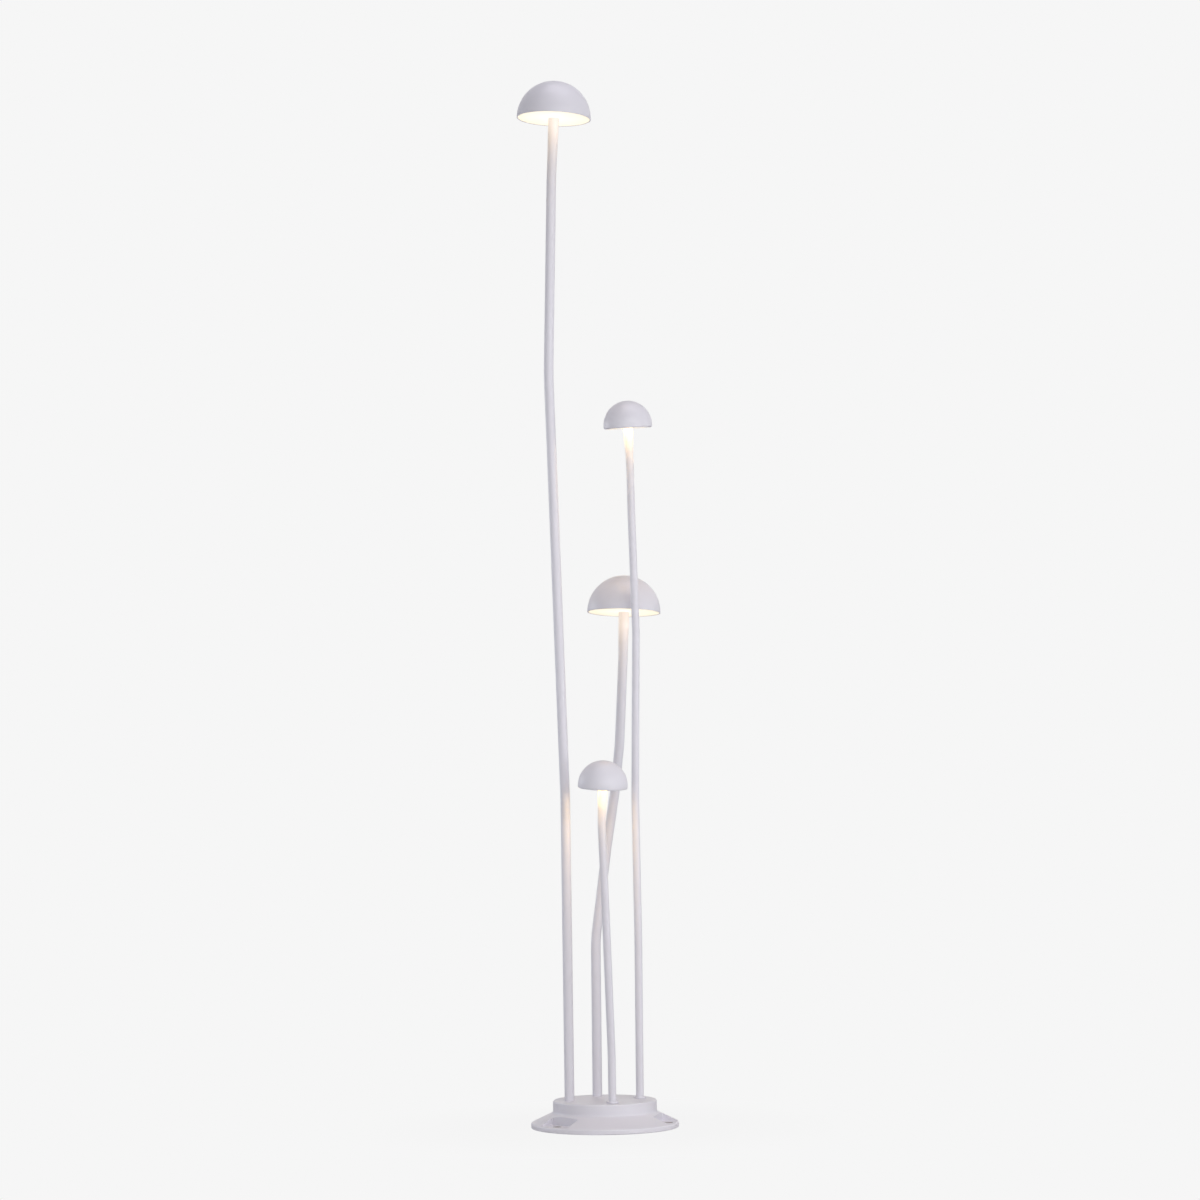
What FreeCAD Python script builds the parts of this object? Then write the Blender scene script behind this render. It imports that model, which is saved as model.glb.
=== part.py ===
import FreeCAD
import Part
import Sketcher
import math
import operator
import os
from dataclasses import dataclass
from types import SimpleNamespace

from FreeCAD import Placement, Rotation, Vector

# Floor lamp with four lit mushroom heads on hand-bent tubes that rise from one cast base.
# Millimetres, +Z up. The origin is the centre of the base's underside, on the floor, and
# the lamp is seen from -Y. Every sub-part is one object whose Label is the file's name.

SIZES = {
    # base casting
    "flange_width": 34.0,               # from the drum's side to the flange's outer edge
    "flange_edge_height": 7.5,          # height of the flange's outer edge, before it is rounded
    "flange_top_height": 23.7,          # height at which the flange's slope meets the drum
    "drum_radius": 80.0,                # outside of the drum
    "drum_height": 42.0,                # top of the drum above the floor
    "drum_wall": 4.0,                   # wall round the drum's hollow
    "drum_top_wall": 4.0,               # wall that carries the tubes
    "drum_edge_round": 3.0,             # rounding of the drum's top edge
    "drum_foot_round": 4.0,             # hollow rounding where the drum meets the flange
    "flange_edge_round": 3.5,           # rounding of the flange's upper edge
    "flange_under_round": 1.5,          # rounding of the flange's lower edge
    "core_inner_wall": 3.7,             # metal between the base plate and the cored ring
    "core_outer_wall": 7.0,             # metal between the cored ring and the flange's edge
    "core_depth": 4.5,                  # depth of the cored ring
    "core_rib_width": 3.0,              # thickness of each rib across the cored ring
    "core_rib_count": 12,               # ribs across the cored ring
    "fixing_count": 3,                  # fixing pockets round the flange
    "fixing_angle": 104.0,              # place of the first fixing pocket
    "fixing_offset": 21.5,              # from the drum's side to the circle of fixing holes
    "fixing_hole_radius": 5.5,          # fixing hole
    "fixing_sink_radius": 6.8,          # mouth of the fixing hole's countersink
    "fixing_boss_radius": 8.5,          # boss under each fixing hole
    "pocket_setback": 4.5,              # from the drum's side to a pocket's rear wall
    "pocket_width": 56.0,               # width of a fixing pocket
    "pocket_floor": 8.5,                # height of a pocket's floor
    "pocket_corner_round": 1.0,         # rounding of a pocket's upright corners

    # base plate
    "plate_overlap": 11.0,              # how far the plate reaches past the drum's hollow
    "plate_thickness": 3.0,             # steel plate
    "plate_lift": 0.5,                  # clearance under the plate
    "plate_gap": 0.3,                   # gap round the plate's edge
    "gasket_thickness": 1.0,            # gasket between plate and casting
    "plate_screw_count": 6,             # countersunk screws round the plate
    "plate_screw_angle": 14.0,          # place of the first plate screw
    "plate_screw_offset": 5.5,          # from the drum's hollow to the circle of plate screws
    "plate_screw_radius": 2.0,          # shank of a plate screw
    "plate_screw_head": 3.8,            # radius of a plate screw's head
    "plate_screw_length": 11.0,         # plate screw, head included
    "plate_screw_socket": 1.4,          # corner radius of a plate screw's socket
    "plate_screw_socket_depth": 1.3,    # socket of a plate screw
    "screw_gap": 0.1,                   # gap round a screw's shank

    # feet of the tubes
    "foot_circle_radius": 55.5,         # circle through the feet of the tubes
    "foot_washer_thickness": 1.0,       # washer under the drum's top wall
    "foot_nut_height": 5.0,             # nut under the drum's top wall
    "foot_thread_spare": 1.0,           # thread that stands out of the foot nut
    "foot_plug_depth": 10.0,            # plug brazed into the tube's foot
    "collar_width": 3.15,               # ring round the foot of a slim tube
    "collar_height": 3.0,               # ring round the foot of a slim tube
    "collar_round": 0.9,                # rounding of the ring's upper edge
    "fit_gap": 0.1,                     # radial gap of pieces that slide over one another

    # large heads
    "large_tube_radius": 7.5,           # outside of a thick tube
    "large_neck_radius": 8.5,           # outside of a thick tube where it meets its head
    "large_flare_length": 66.0,         # length over which the tube widens to its neck
    "large_thread_radius": 6.0,         # threaded ends of a thick tube
    "large_thread_bore": 3.5,           # bore through a thick tube's threaded ends
    "large_nut_radius": 10.7,           # corner radius of the nuts on a thick tube
    "large_washer_radius": 11.5,        # washer on a thick tube's foot
    "large_cap_radius": 58.0,           # outside of a large cap
    "large_cap_skirt": 1.0,             # straight rim below the large cap's hemisphere
    "large_rim_width": 1.8,             # width of the large cap's rim round its diffuser
    "large_rim_round": 0.5,             # rounding of the large cap's rim
    "large_hub_margin": 7.0,            # heat-spreading plate beyond its screws
    "large_hub_height": 22.0,           # underside of that plate above the rim
    "large_board_radius": 30.0,         # round circuit board on that plate
    "large_lamp_circle": 23.0,          # circle through the light-emitting chips
    "large_lamp_count": 12,             # chips on a large board
    "large_screw_gap": 1.2,             # gap between the board and the cap's screws
    "large_lead_offset": 7.3,           # gap between the head nut and the lead's centre

    # small heads
    "small_tube_radius": 6.0,           # outside of a slim tube
    "small_neck_radius": 7.4,           # outside of a slim tube where it meets its head
    "small_flare_length": 42.0,         # length over which the tube widens to its neck
    "small_thread_radius": 5.0,         # threaded ends of a slim tube
    "small_thread_bore": 2.8,           # bore through a slim tube's threaded ends
    "small_nut_radius": 9.2,            # corner radius of the nuts on a slim tube
    "small_washer_radius": 10.0,        # washer on a slim tube's foot
    "small_cap_radius": 38.0,           # outside of a small cap
    "small_cap_skirt": 5.0,             # straight rim below the small cap's hemisphere
    "small_rim_width": 3.4,             # width of the small cap's rim round its diffuser
    "small_rim_round": 2.8,             # rounding of the small cap's rim
    "small_hub_margin": 5.0,            # heat-spreading plate beyond its screws
    "small_hub_height": 16.0,           # underside of that plate above the rim
    "small_board_radius": 18.5,         # round circuit board on that plate
    "small_lamp_circle": 14.6,          # circle through the light-emitting chips
    "small_lamp_count": 8,              # chips on a small board
    "small_screw_gap": 0.7,             # gap between the board and the cap's screws
    "small_lead_offset": 4.8,           # gap between the head nut and the lead's centre

    # all heads
    "tube_wall": 1.5,                   # wall of the tubes
    "cap_wall": 2.0,                    # wall of the caps
    "shadow_line_height": 2.0,          # fine groove round a large cap, above its rim
    "shadow_line_width": 0.6,           # width of that groove
    "shadow_line_depth": 0.35,          # depth of that groove
    "diffuser_recess": 0.6,             # how far the diffuser lies inside the rim
    "diffuser_thickness": 2.8,          # opal sheet
    "diffuser_gap": 0.2,                # gap round the diffuser's outer and inner edge
    "seal_width": 1.5,                  # ring that seals the diffuser
    "seal_thickness": 1.2,              # ring that seals the diffuser
    "ledge_thickness": 1.7,             # ledge inside the cap that the ring bears on
    "hub_thickness": 2.5,               # heat-spreading plate
    "hub_collar_radius": 9.8,           # collar under the plate that seats on the neck
    "hub_collar_height": 1.0,           # collar under the plate that seats on the neck
    "hub_lip_height": 4.0,              # lip round the plate
    "hub_lip_width": 1.2,               # lip round the plate
    "head_nut_height": 5.0,             # nut that holds the plate on the neck
    "head_thread_spare": 1.0,           # thread that stands out of the head nut
    "boss_radius": 3.6,                 # screw boss inside a cap
    "boss_count": 3,                    # screw bosses inside a cap
    "boss_drill_depth": 9.0,            # thread depth in a boss
    "hub_screw_radius": 1.5,            # screw that holds a cap to its plate
    "hub_screw_head": 2.8,              # radius of that screw's head
    "hub_screw_head_height": 2.0,       # height of that screw's head
    "hub_screw_grip": 7.0,              # length of that screw in its boss
    "board_thickness": 1.6,             # circuit board
    "board_bore_radius": 11.5,          # hole in the middle of the board
    "chip_length": 3.5,                 # light-emitting chip
    "chip_width": 2.8,                  # light-emitting chip
    "chip_height": 0.8,                 # light-emitting chip
    "lead_radius": 1.6,                 # two-core lead inside a tube
    "lead_foot_bend": 10.0,             # bend of a lead below its tube
    "lead_foot_drop": 14.0,             # depth of a lead's run below the tube's end
    "lead_head_rise": 2.0,              # straight lead above the tube's top end

    # driver and terminals
    "driver_angle": 147.0,              # direction of the driver's length
    "driver_length": 96.0,              # driver housing
    "driver_width": 36.0,               # driver housing
    "driver_height": 20.0,              # driver housing
    "driver_round": 3.0,                # rounding of the driver's upright edges
    "driver_ear_length": 9.0,           # screw ear at each end of the driver
    "driver_ear_width": 14.0,           # screw ear at each end of the driver
    "driver_ear_thickness": 2.5,        # screw ear at each end of the driver
    "stand_off_height": 6.0,            # bosses under the drum's top wall
    "stand_off_radius": 4.5,            # bosses under the drum's top wall
    "stand_off_screw_radius": 1.75,     # screws in those bosses
    "stand_off_screw_head": 3.4,        # radius of those screws' heads
    "stand_off_screw_head_height": 2.2, # height of those screws' heads
    "stand_off_screw_grip": 5.0,        # length of those screws in their bosses
    "terminal_offset": 36.0,            # terminal block's distance from the lamp's axis
    "terminal_length": 30.0,            # terminal block
    "terminal_width": 17.0,             # terminal block
    "terminal_height": 13.0,            # terminal block
    "terminal_pole_pitch": 10.0,        # distance between the poles
    "terminal_wire_radius": 1.6,        # wire holes and screw wells
    "supply_wire_radius": 1.2,          # wires from terminal block to driver
    "earth_along": 24.0,                # earth boss's place along the driver
    "earth_across": 58.0,               # earth boss's place across the driver
    "earth_lug_radius": 5.0,            # ring of the earth lug
    "earth_lug_width": 8.0,             # tongue of the earth lug
    "earth_lug_thickness": 0.8,         # earth lug
    "earth_lug_reach": 14.0,            # crimp barrel's end from the ring's centre

    # cable gland
    "gland_angle": 57.0,                # direction of the gland, behind the drum
    "gland_drop": 14.5,                 # gland's axis below the drum's top
    "gland_seat_depth": 1.5,            # how deep the gland's flat seat is cut into the drum
    "gland_wall": 5.5,                  # wall between that seat and the pad for its nut
    "gland_pad_width": 20.0,            # pad inside the drum's wall
    "gland_relief_gap": 0.5,            # gap round the gland's corners where it is let in
    "gland_thread_radius": 6.0,         # thread through the drum's wall
    "gland_across_flats": 15.0,         # gland body and nuts
    "gland_washer_thickness": 0.8,      # sealing washer
    "gland_flange_thickness": 4.0,      # hexagon of the gland body
    "gland_collar_radius": 5.6,         # gland body inside the domed nut
    "gland_collar_length": 8.0,         # gland body inside the domed nut
    "gland_bore_radius": 4.6,           # bore of the gland body
    "gland_tail_length": 4.0,           # thread that stands into the drum beyond the pad
    "gland_nut_height": 3.0,            # nut inside the drum
    "gland_cap_length": 13.0,           # domed nut
    "gland_cap_gap": 1.0,               # gap between hexagon and domed nut
    "gland_cap_mouth": 3.9,             # radius of the domed nut's mouth
    "gland_cap_lip": 1.8,               # wall at the domed nut's mouth
    "gland_cap_round": 3.0,             # rounding of the domed nut
    "gland_seal_bore": 3.25,            # rubber sleeve that grips the cable
    "gland_seal_length": 10.0,          # rubber sleeve that grips the cable

    # each tube: the place of its foot, the radius of its bends, and its straight runs from
    # the drum's top to the centre of its cap's rim, as steps along x, y and z
    "tall_foot_angle": 192.0, "tall_bend_radius": 700.0,
    "tall_run1_x": -1.3, "tall_run1_y": 5.0, "tall_run1_z": 463.0,
    "tall_run2_x": -18.3, "tall_run2_y": -8.0, "tall_run2_z": 660.0,
    "tall_run3_x": 7.7, "tall_run3_y": 3.0, "tall_run3_z": 307.0,
    "tall_run4_x": 4.8, "tall_run4_y": 0.0, "tall_run4_z": 96.0,
    "high_foot_angle": 12.0, "high_bend_radius": 450.0,
    "high_run1_x": 0.6, "high_run1_y": 1.0, "high_run1_z": 248.0,
    "high_run2_x": -1.9, "high_run2_y": 3.5, "high_run2_z": 215.0,
    "high_run3_x": 4.4, "high_run3_y": 1.5, "high_run3_z": 260.0,
    "high_run4_x": -4.7, "high_run4_y": -3.0, "high_run4_z": 182.0,
    "high_run5_x": -1.1, "high_run5_y": -2.6, "high_run5_z": 70.0,
    "high_run6_x": -2.7, "high_run6_y": -5.7, "high_run6_z": 65.0,
    "middle_foot_angle": 102.0, "middle_bend_radius": 240.0,
    "middle_run1_x": 0.3, "middle_run1_y": 1.5, "middle_run1_z": 243.0,
    "middle_run2_x": 19.2, "middle_run2_y": 8.5, "middle_run2_z": 145.0,
    "middle_run3_x": 13.2, "middle_run3_y": 6.0, "middle_run3_z": 82.0,
    "middle_run4_x": 8.8, "middle_run4_y": 5.5, "middle_run4_z": 78.0,
    "middle_run5_x": 7.2, "middle_run5_y": 9.5, "middle_run5_z": 135.0,
    "middle_run6_x": 2.3, "middle_run6_y": 4.7, "middle_run6_z": 73.0,
    "low_foot_angle": 282.0, "low_bend_radius": 260.0,
    "low_run1_x": -0.3, "low_run1_y": -1.0, "low_run1_z": 73.0,
    "low_run2_x": -5.6, "low_run2_y": -13.0, "low_run2_z": 190.0,
    "low_run3_x": -5.6, "low_run3_y": -13.5, "low_run3_z": 163.0,
    "low_run4_x": 2.4, "low_run4_y": -5.0, "low_run4_z": 53.0,
}


@dataclass(frozen=True)
class Mushroom:
    """One tube with its head, of the large or the small kind."""

    name: str
    kind: str
    runs: int


MUSHROOMS = (Mushroom("tall", "large", 4), Mushroom("high", "small", 6),
             Mushroom("middle", "large", 6), Mushroom("low", "small", 4))
AXES = ("x", "y", "z")
UP = Vector(0, 0, 1)
MARGIN = 1.0                # cuts and pads run this far past the face that they end at
TOLERANCE = 1e-4            # two lengths closer than this are the same
COUNTERSINK_ANGLE = 90.0    # cone of every countersink, in degrees
SOCKET_WIDTH_SHARE = 0.45   # a screw's socket against the radius of its head
SOCKET_DEPTH_SHARE = 0.6    # a screw's socket against the height of its head
LOOP_SHARE = 0.999          # leaves a hair of straight lead between two half bends


class Size:
    """A number that also knows the spreadsheet formula that gives it."""

    def __init__(self, value, formula):
        self.value = value
        self.formula = formula

    def __add__(self, other):
        return combined(self, "+", other)

    def __radd__(self, other):
        return combined(other, "+", self)

    def __sub__(self, other):
        return combined(self, "-", other)

    def __rsub__(self, other):
        return combined(other, "-", self)

    def __mul__(self, other):
        return combined(self, "*", other)

    def __rmul__(self, other):
        return combined(other, "*", self)

    def __truediv__(self, other):
        return combined(self, "/", other)

    def __rtruediv__(self, other):
        return combined(other, "/", self)

    def __neg__(self):
        return combined(0, "-", self)

    def __float__(self):
        return float(self.value)


OPERATORS = {"+": operator.add, "-": operator.sub, "*": operator.mul, "/": operator.truediv}


def as_size(value):
    return value if isinstance(value, Size) else Size(value, repr(value))


def combined(left, sign, right):
    left, right = as_size(left), as_size(right)
    value = OPERATORS[sign](left.value, right.value)
    return Size(value, f"({left.formula} {sign} {right.formula})")


def cosine(angle):
    angle = as_size(angle)
    return Size(math.cos(math.radians(angle.value)), f"cos({angle.formula})")


def sine(angle):
    angle = as_size(angle)
    return Size(math.sin(math.radians(angle.value)), f"sin({angle.formula})")


def root(square):
    return Size(math.sqrt(square.value), f"sqrt({square.formula})")


doc = FreeCAD.newDocument("mushroom_lamp")
sheet = doc.addObject("Spreadsheet::Sheet", "Sizes")
s = SimpleNamespace()
finished = []


def fill_sheet():
    """Write every driving size into the spreadsheet, one row each."""
    for row, (name, value) in enumerate(SIZES.items(), start=1):
        sheet.set(f"A{row}", name)
        sheet.set(f"B{row}", str(value))
        sheet.setAlias(f"B{row}", name)
        setattr(s, name, Size(value, f"Sizes.{name}"))
    doc.recompute()


def bind(thing, **sizes):
    """Tie properties to sizes: bind(box, Length=s.driver_length)."""
    for name, size in sizes.items():
        size = as_size(size)
        setattr(thing, name, size.value)
        thing.setExpression(name, size.formula)
    return thing


def add(kind, name, **sizes):
    return bind(doc.addObject(kind, name), **sizes)


def placed(thing, place):
    thing.Placement = place
    return thing


def finish(thing, label):
    """Name a sub-part and put it on the list of files to write."""
    thing.Label = label
    finished.append(thing)
    return thing


def cut(name, base, *tools):
    tool = fuse(name + "_tools", *tools) if len(tools) > 1 else tools[0]
    result = doc.addObject("Part::Cut", name)
    result.Base, result.Tool = base, tool
    return result


def fuse(name, *shapes):
    result = doc.addObject("Part::MultiFuse", name)
    result.Shapes = list(shapes)
    return result


# ---- sketches and part-design features ----------------------------------------------------


def new_body(name, place=None):
    body = doc.addObject("PartDesign::Body", name)
    if place:
        body.Placement = place
    return body


def origin_plane(body, role):
    return next(item for item in body.Origin.OriginFeatures if item.Role == role)


def new_sketch(body, name, role="XZ_Plane", lift=0, turn=0, axis=UP):
    """A sketch on one of the body's own origin planes, lifted off it and turned in place."""
    sketch = body.newObject("Sketcher::SketchObject", name)
    sketch.AttachmentSupport = (origin_plane(body, role), [""])
    sketch.MapMode = "FlatFace"
    lift, turn = as_size(lift), as_size(turn)
    sketch.AttachmentOffset = Placement(Vector(0, 0, lift.value), Rotation(axis, turn.value))
    sketch.setExpression("AttachmentOffset.Base.z", lift.formula)
    if turn.value:
        sketch.setExpression("AttachmentOffset.Rotation.Angle", turn.formula)
    return sketch


def fix_point(sketch, edge, end, point):
    """Hold a corner at its place, measured from the sketch's origin."""
    for kind, size in zip(("DistanceX", "DistanceY"), point):
        size = as_size(size)
        index = sketch.addConstraint(Sketcher.Constraint(kind, -1, 1, edge, end, size.value))
        sketch.setExpression(f"Constraints[{index}]", size.formula)


def draw_outline(sketch, corners):
    """Close an outline through the corners.

    A corner is (x, y), or (x, y, centre_x, centre_y, radius) where an arc about that centre
    leads to it.
    """
    points = [Vector(float(corner[0]), float(corner[1]), 0) for corner in corners]
    for number, corner in enumerate(corners):
        start, end = points[number - 1], points[number]
        if len(corner) == 2:
            sketch.addGeometry(Part.LineSegment(start, end), False)
            continue
        centre, radius = Vector(float(corner[2]), float(corner[3]), 0), as_size(corner[4])
        middle = centre + ((start + end) * 0.5 - centre).normalize() * radius.value
        arc = sketch.addGeometry(Part.Arc(start, middle, end), False)
        index = sketch.addConstraint(Sketcher.Constraint("Radius", arc, radius.value))
        sketch.setExpression(f"Constraints[{index}]", radius.formula)
    last = len(corners)
    for number, corner in enumerate(corners):
        this_end = end_of(sketch, number, points[number])
        next_edge = (number + 1) % last
        next_start = end_of(sketch, next_edge, points[number])
        sketch.addConstraint(Sketcher.Constraint("Coincident", number, this_end, next_edge, next_start))
        fix_point(sketch, number, this_end, corner[:2])
    return sketch


def end_of(sketch, edge, point):
    """1 or 2: which end of the edge lies at the point. Arcs always run anticlockwise."""
    return 1 if sketch.getPoint(edge, 1).distanceToPoint(point) < TOLERANCE else 2


def draw_rectangle(sketch, low, high):
    return draw_outline(sketch, [low, (high[0], low[1]), high, (low[0], high[1])])


def draw_circle(sketch, centre, radius):
    radius = as_size(radius)
    middle = Vector(float(centre[0]), float(centre[1]), 0)
    circle = sketch.addGeometry(Part.Circle(middle, UP, radius.value), False)
    index = sketch.addConstraint(Sketcher.Constraint("Radius", circle, radius.value))
    sketch.setExpression(f"Constraints[{index}]", radius.formula)
    fix_point(sketch, circle, 3, centre)
    return sketch


def revolve(body, name, corners, kind="PartDesign::Revolution"):
    """Turn an outline of (radius, height) corners once round the body's own Z axis."""
    sketch = draw_outline(new_sketch(body, name + "_outline"), corners)
    feature = body.newObject(kind, name)
    feature.Profile = sketch
    feature.ReferenceAxis = (sketch, ["V_Axis"])
    feature.Angle = 360
    return feature


def pad(body, name, sketch, length):
    feature = body.newObject("PartDesign::Pad", name)
    feature.Profile = sketch
    return bind(feature, Length=length)


def pocket(body, name, sketch, length, away=False):
    """Cut against the sketch's normal, or along it when away is true."""
    doc.recompute()
    before = body.Shape.Volume
    feature = body.newObject("PartDesign::Pocket", name)
    feature.Profile = sketch
    feature.Reversed = away
    bind(feature, Length=length)
    doc.recompute()
    if body.Shape.Volume >= before:
        raise RuntimeError(f"{name} cuts nothing")
    return feature


def repeat(body, name, feature, count):
    """Repeat a feature in equal steps round the body's own Z axis."""
    pattern = body.newObject("PartDesign::PolarPattern", name)
    pattern.Originals = [feature]
    pattern.Axis = (next(i for i in body.Origin.OriginFeatures if i.Role == "Z_Axis"), [""])
    pattern.Angle = 360
    bind(pattern, Occurrences=count)
    body.Tip = pattern
    doc.recompute()
    return pattern


def round_circles(body, name, radius, places):
    """Round the full circular edges at the given (radius, height) places."""
    doc.recompute()
    base = body.Tip
    edges = [f"Edge{number}" for number, edge in enumerate(base.Shape.Edges, start=1)
             if isinstance(edge.Curve, Part.Circle)
             and any(abs(edge.Curve.Radius - float(r)) < TOLERANCE
                     and abs(edge.Curve.Center.z - float(z)) < TOLERANCE for r, z in places)]
    if not edges:
        raise RuntimeError(f"{name} finds no edge")
    feature = body.newObject("PartDesign::Fillet", name)
    feature.Base = (base, edges)
    bind(feature, Radius=radius)
    doc.recompute()
    return feature


def on_circle(radius, angle):
    return radius * cosine(angle), radius * sine(angle)


def steps(count, first):
    return [first + number * 360 / count for number in range(int(count.value))]


# ---- base ---------------------------------------------------------------------------------


def base_sizes():
    """Heights and radii that several pieces of the base share."""
    s.ceiling = s.drum_height - s.drum_top_wall
    s.cavity_radius = s.drum_radius - s.drum_wall
    s.plate_top = s.plate_lift + s.plate_thickness
    s.ledge_height = s.plate_top + s.gasket_thickness
    s.plate_radius = s.cavity_radius + s.plate_overlap
    s.plate_screw_circle = s.cavity_radius + s.plate_screw_offset
    s.recess_radius = s.plate_radius + s.plate_gap
    s.flange_radius = s.drum_radius + s.flange_width
    s.core_inner_radius = s.recess_radius + s.core_inner_wall
    s.core_outer_radius = s.flange_radius - s.core_outer_wall
    s.fixing_circle_radius = s.drum_radius + s.fixing_offset
    s.pocket_back = s.drum_radius + s.pocket_setback
    s.stand_off_foot = s.ceiling - s.stand_off_height
    s.stand_off_bore = s.stand_off_screw_radius + s.screw_gap
    s.driver_screw_offset = s.driver_length / 2 + s.driver_ear_length / 2
    s.gland_height = s.drum_height - s.gland_drop
    s.gland_seat_radius = s.drum_radius - s.gland_seat_depth
    s.gland_pad_radius = s.gland_seat_radius - s.gland_wall
    s.gland_relief_radius = s.gland_across_flats / math.sqrt(3) + s.gland_relief_gap
    s.gland_washer_top = s.gland_seat_radius + s.gland_washer_thickness
    s.collar_radius = s.small_tube_radius + s.fit_gap + s.collar_width
    s.large_hole = s.large_thread_radius + s.fit_gap
    s.small_hole = s.small_thread_radius + s.fit_gap


def make_base_housing():
    body = new_body("base_housing")
    revolve(body, "drum_and_flange", [
        (0, s.ceiling), (s.cavity_radius, s.ceiling), (s.cavity_radius, s.ledge_height),
        (s.recess_radius, s.ledge_height), (s.recess_radius, 0), (s.flange_radius, 0),
        (s.flange_radius, s.flange_edge_height), (s.drum_radius, s.flange_top_height),
        (s.drum_radius, s.drum_height), (0, s.drum_height)])
    round_circles(body, "drum_edge", s.drum_edge_round, [(s.drum_radius, s.drum_height)])
    round_circles(body, "drum_foot", s.drum_foot_round, [(s.drum_radius, s.flange_top_height)])
    round_circles(body, "flange_edge", s.flange_edge_round,
                  [(s.flange_radius, s.flange_edge_height)])
    round_circles(body, "flange_under", s.flange_under_round, [(s.flange_radius, 0)])
    revolve(body, "cored_ring", [
        (s.core_inner_radius, 0), (s.core_outer_radius, 0),
        (s.core_outer_radius, s.core_depth), (s.core_inner_radius, s.core_depth)],
        "PartDesign::Groove")

    rib = new_sketch(body, "core_rib_outline", "XY_Plane", 0, s.plate_screw_angle)
    draw_rectangle(rib, (s.core_inner_radius - MARGIN, -s.core_rib_width / 2),
                   (s.core_outer_radius + MARGIN, s.core_rib_width / 2))
    repeat(body, "core_ribs", pad(body, "core_rib", rib, s.core_depth), s.core_rib_count)
    boss = new_sketch(body, "fixing_boss_outline", "XY_Plane", 0, s.fixing_angle)
    draw_circle(boss, (s.fixing_circle_radius, 0), s.fixing_boss_radius)
    boss = pad(body, "fixing_boss", boss, s.core_depth + MARGIN)
    repeat(body, "fixing_bosses", boss, s.fixing_count)

    bay = new_sketch(body, "fixing_pocket_outline", "XY_Plane", s.drum_height, s.fixing_angle)
    back, side, curve = s.pocket_back, s.pocket_width / 2, s.pocket_corner_round
    past = s.flange_radius + MARGIN
    draw_outline(bay, [
        (back + curve, -side, back + curve, curve - side, curve), (past, -side), (past, side),
        (back + curve, side), (back, side - curve, back + curve, side - curve, curve),
        (back, curve - side)])
    bay = pocket(body, "fixing_pocket", bay, s.drum_height - s.pocket_floor)
    repeat(body, "fixing_pockets", bay, s.fixing_count)

    holes = new_sketch(body, "fixing_hole_centres", "XY_Plane", s.pocket_floor)
    for angle in steps(s.fixing_count, s.fixing_angle):
        draw_circle(holes, on_circle(s.fixing_circle_radius, angle), s.fixing_hole_radius)
    doc.recompute()
    hole = body.newObject("PartDesign::Hole", "fixing_holes")
    hole.Profile = holes
    hole.DepthType = "ThroughAll"
    hole.HoleCutType = "Countersink"
    hole.HoleCutCustomValues = True
    bind(hole, Diameter=s.fixing_hole_radius * 2, HoleCutDiameter=s.fixing_sink_radius * 2)
    hole.HoleCutCountersinkAngle = COUNTERSINK_ANGLE

    drills = new_sketch(body, "tube_hole_centres", "XY_Plane", s.drum_height)
    for item in MUSHROOMS:
        angle = getattr(s, f"{item.name}_foot_angle")
        draw_circle(drills, on_circle(s.foot_circle_radius, angle), getattr(s, f"{item.kind}_hole"))
    pocket(body, "tube_holes", drills, s.drum_top_wall + MARGIN)

    taps = new_sketch(body, "plate_screw_centres", "XY_Plane", s.ledge_height)
    for angle in steps(s.plate_screw_count, s.plate_screw_angle):
        draw_circle(taps, on_circle(s.plate_screw_circle, angle), s.plate_screw_radius + s.screw_gap)
    pocket(body, "plate_screw_taps", taps, s.plate_screw_length, away=True)

    feet = new_sketch(body, "stand_off_outline", "XY_Plane", s.stand_off_foot, s.driver_angle)
    bores = new_sketch(body, "stand_off_bores", "XY_Plane", s.stand_off_foot, s.driver_angle)
    for centre in stand_off_places():
        draw_circle(feet, centre, s.stand_off_radius)
        draw_circle(bores, centre, s.stand_off_bore)
    pad(body, "stand_offs", feet, s.stand_off_height + MARGIN)
    pocket(body, "stand_off_taps", bores, s.stand_off_height, away=True)

    pad_foot = new_sketch(body, "gland_pad_outline", "XY_Plane",
                          s.gland_height - s.gland_pad_width / 2, s.gland_angle)
    draw_rectangle(pad_foot, (s.gland_pad_radius, -s.gland_pad_width / 2),
                   (s.drum_radius - s.drum_wall / 2, s.gland_pad_width / 2))
    pad(body, "gland_pad", pad_foot,
        s.ceiling + MARGIN - s.gland_height + s.gland_pad_width / 2)
    seat = new_sketch(body, "gland_seat_outline", "YZ_Plane", s.gland_seat_radius,
                      s.gland_angle, Vector(0, 1, 0))
    draw_circle(seat, (0, s.gland_height), s.gland_relief_radius)
    seat_place(seat, s.gland_seat_radius)
    pocket(body, "gland_seat", seat, s.flange_radius - s.gland_seat_radius, away=True)
    bore = new_sketch(body, "gland_hole_outline", "YZ_Plane", 0, s.gland_angle, Vector(0, 1, 0))
    draw_circle(bore, (0, s.gland_height), s.gland_thread_radius + s.fit_gap)
    seat_place(bore, s.gland_seat_radius + MARGIN)
    pocket(body, "gland_hole", bore, s.gland_seat_radius - s.gland_pad_radius + MARGIN * 2)
    return finish(body, "base_housing")


def seat_place(sketch, distance):
    """Stand an upright sketch square to the gland's direction, at a distance from the axis."""
    x, y = on_circle(distance, s.gland_angle)
    base = Vector(y.value, 0, x.value)
    sketch.AttachmentOffset = Placement(base, Rotation(Vector(0, 1, 0), s.gland_angle.value))
    sketch.setExpression("AttachmentOffset.Base.x", y.formula)
    sketch.setExpression("AttachmentOffset.Base.z", x.formula)


def stand_off_places():
    """Bosses under the top wall, in the driver's own directions: along, across."""
    return [(s.driver_screw_offset, 0), (-s.driver_screw_offset, 0),
            (0, -s.terminal_offset), (s.earth_along, -s.earth_across)]


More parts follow.
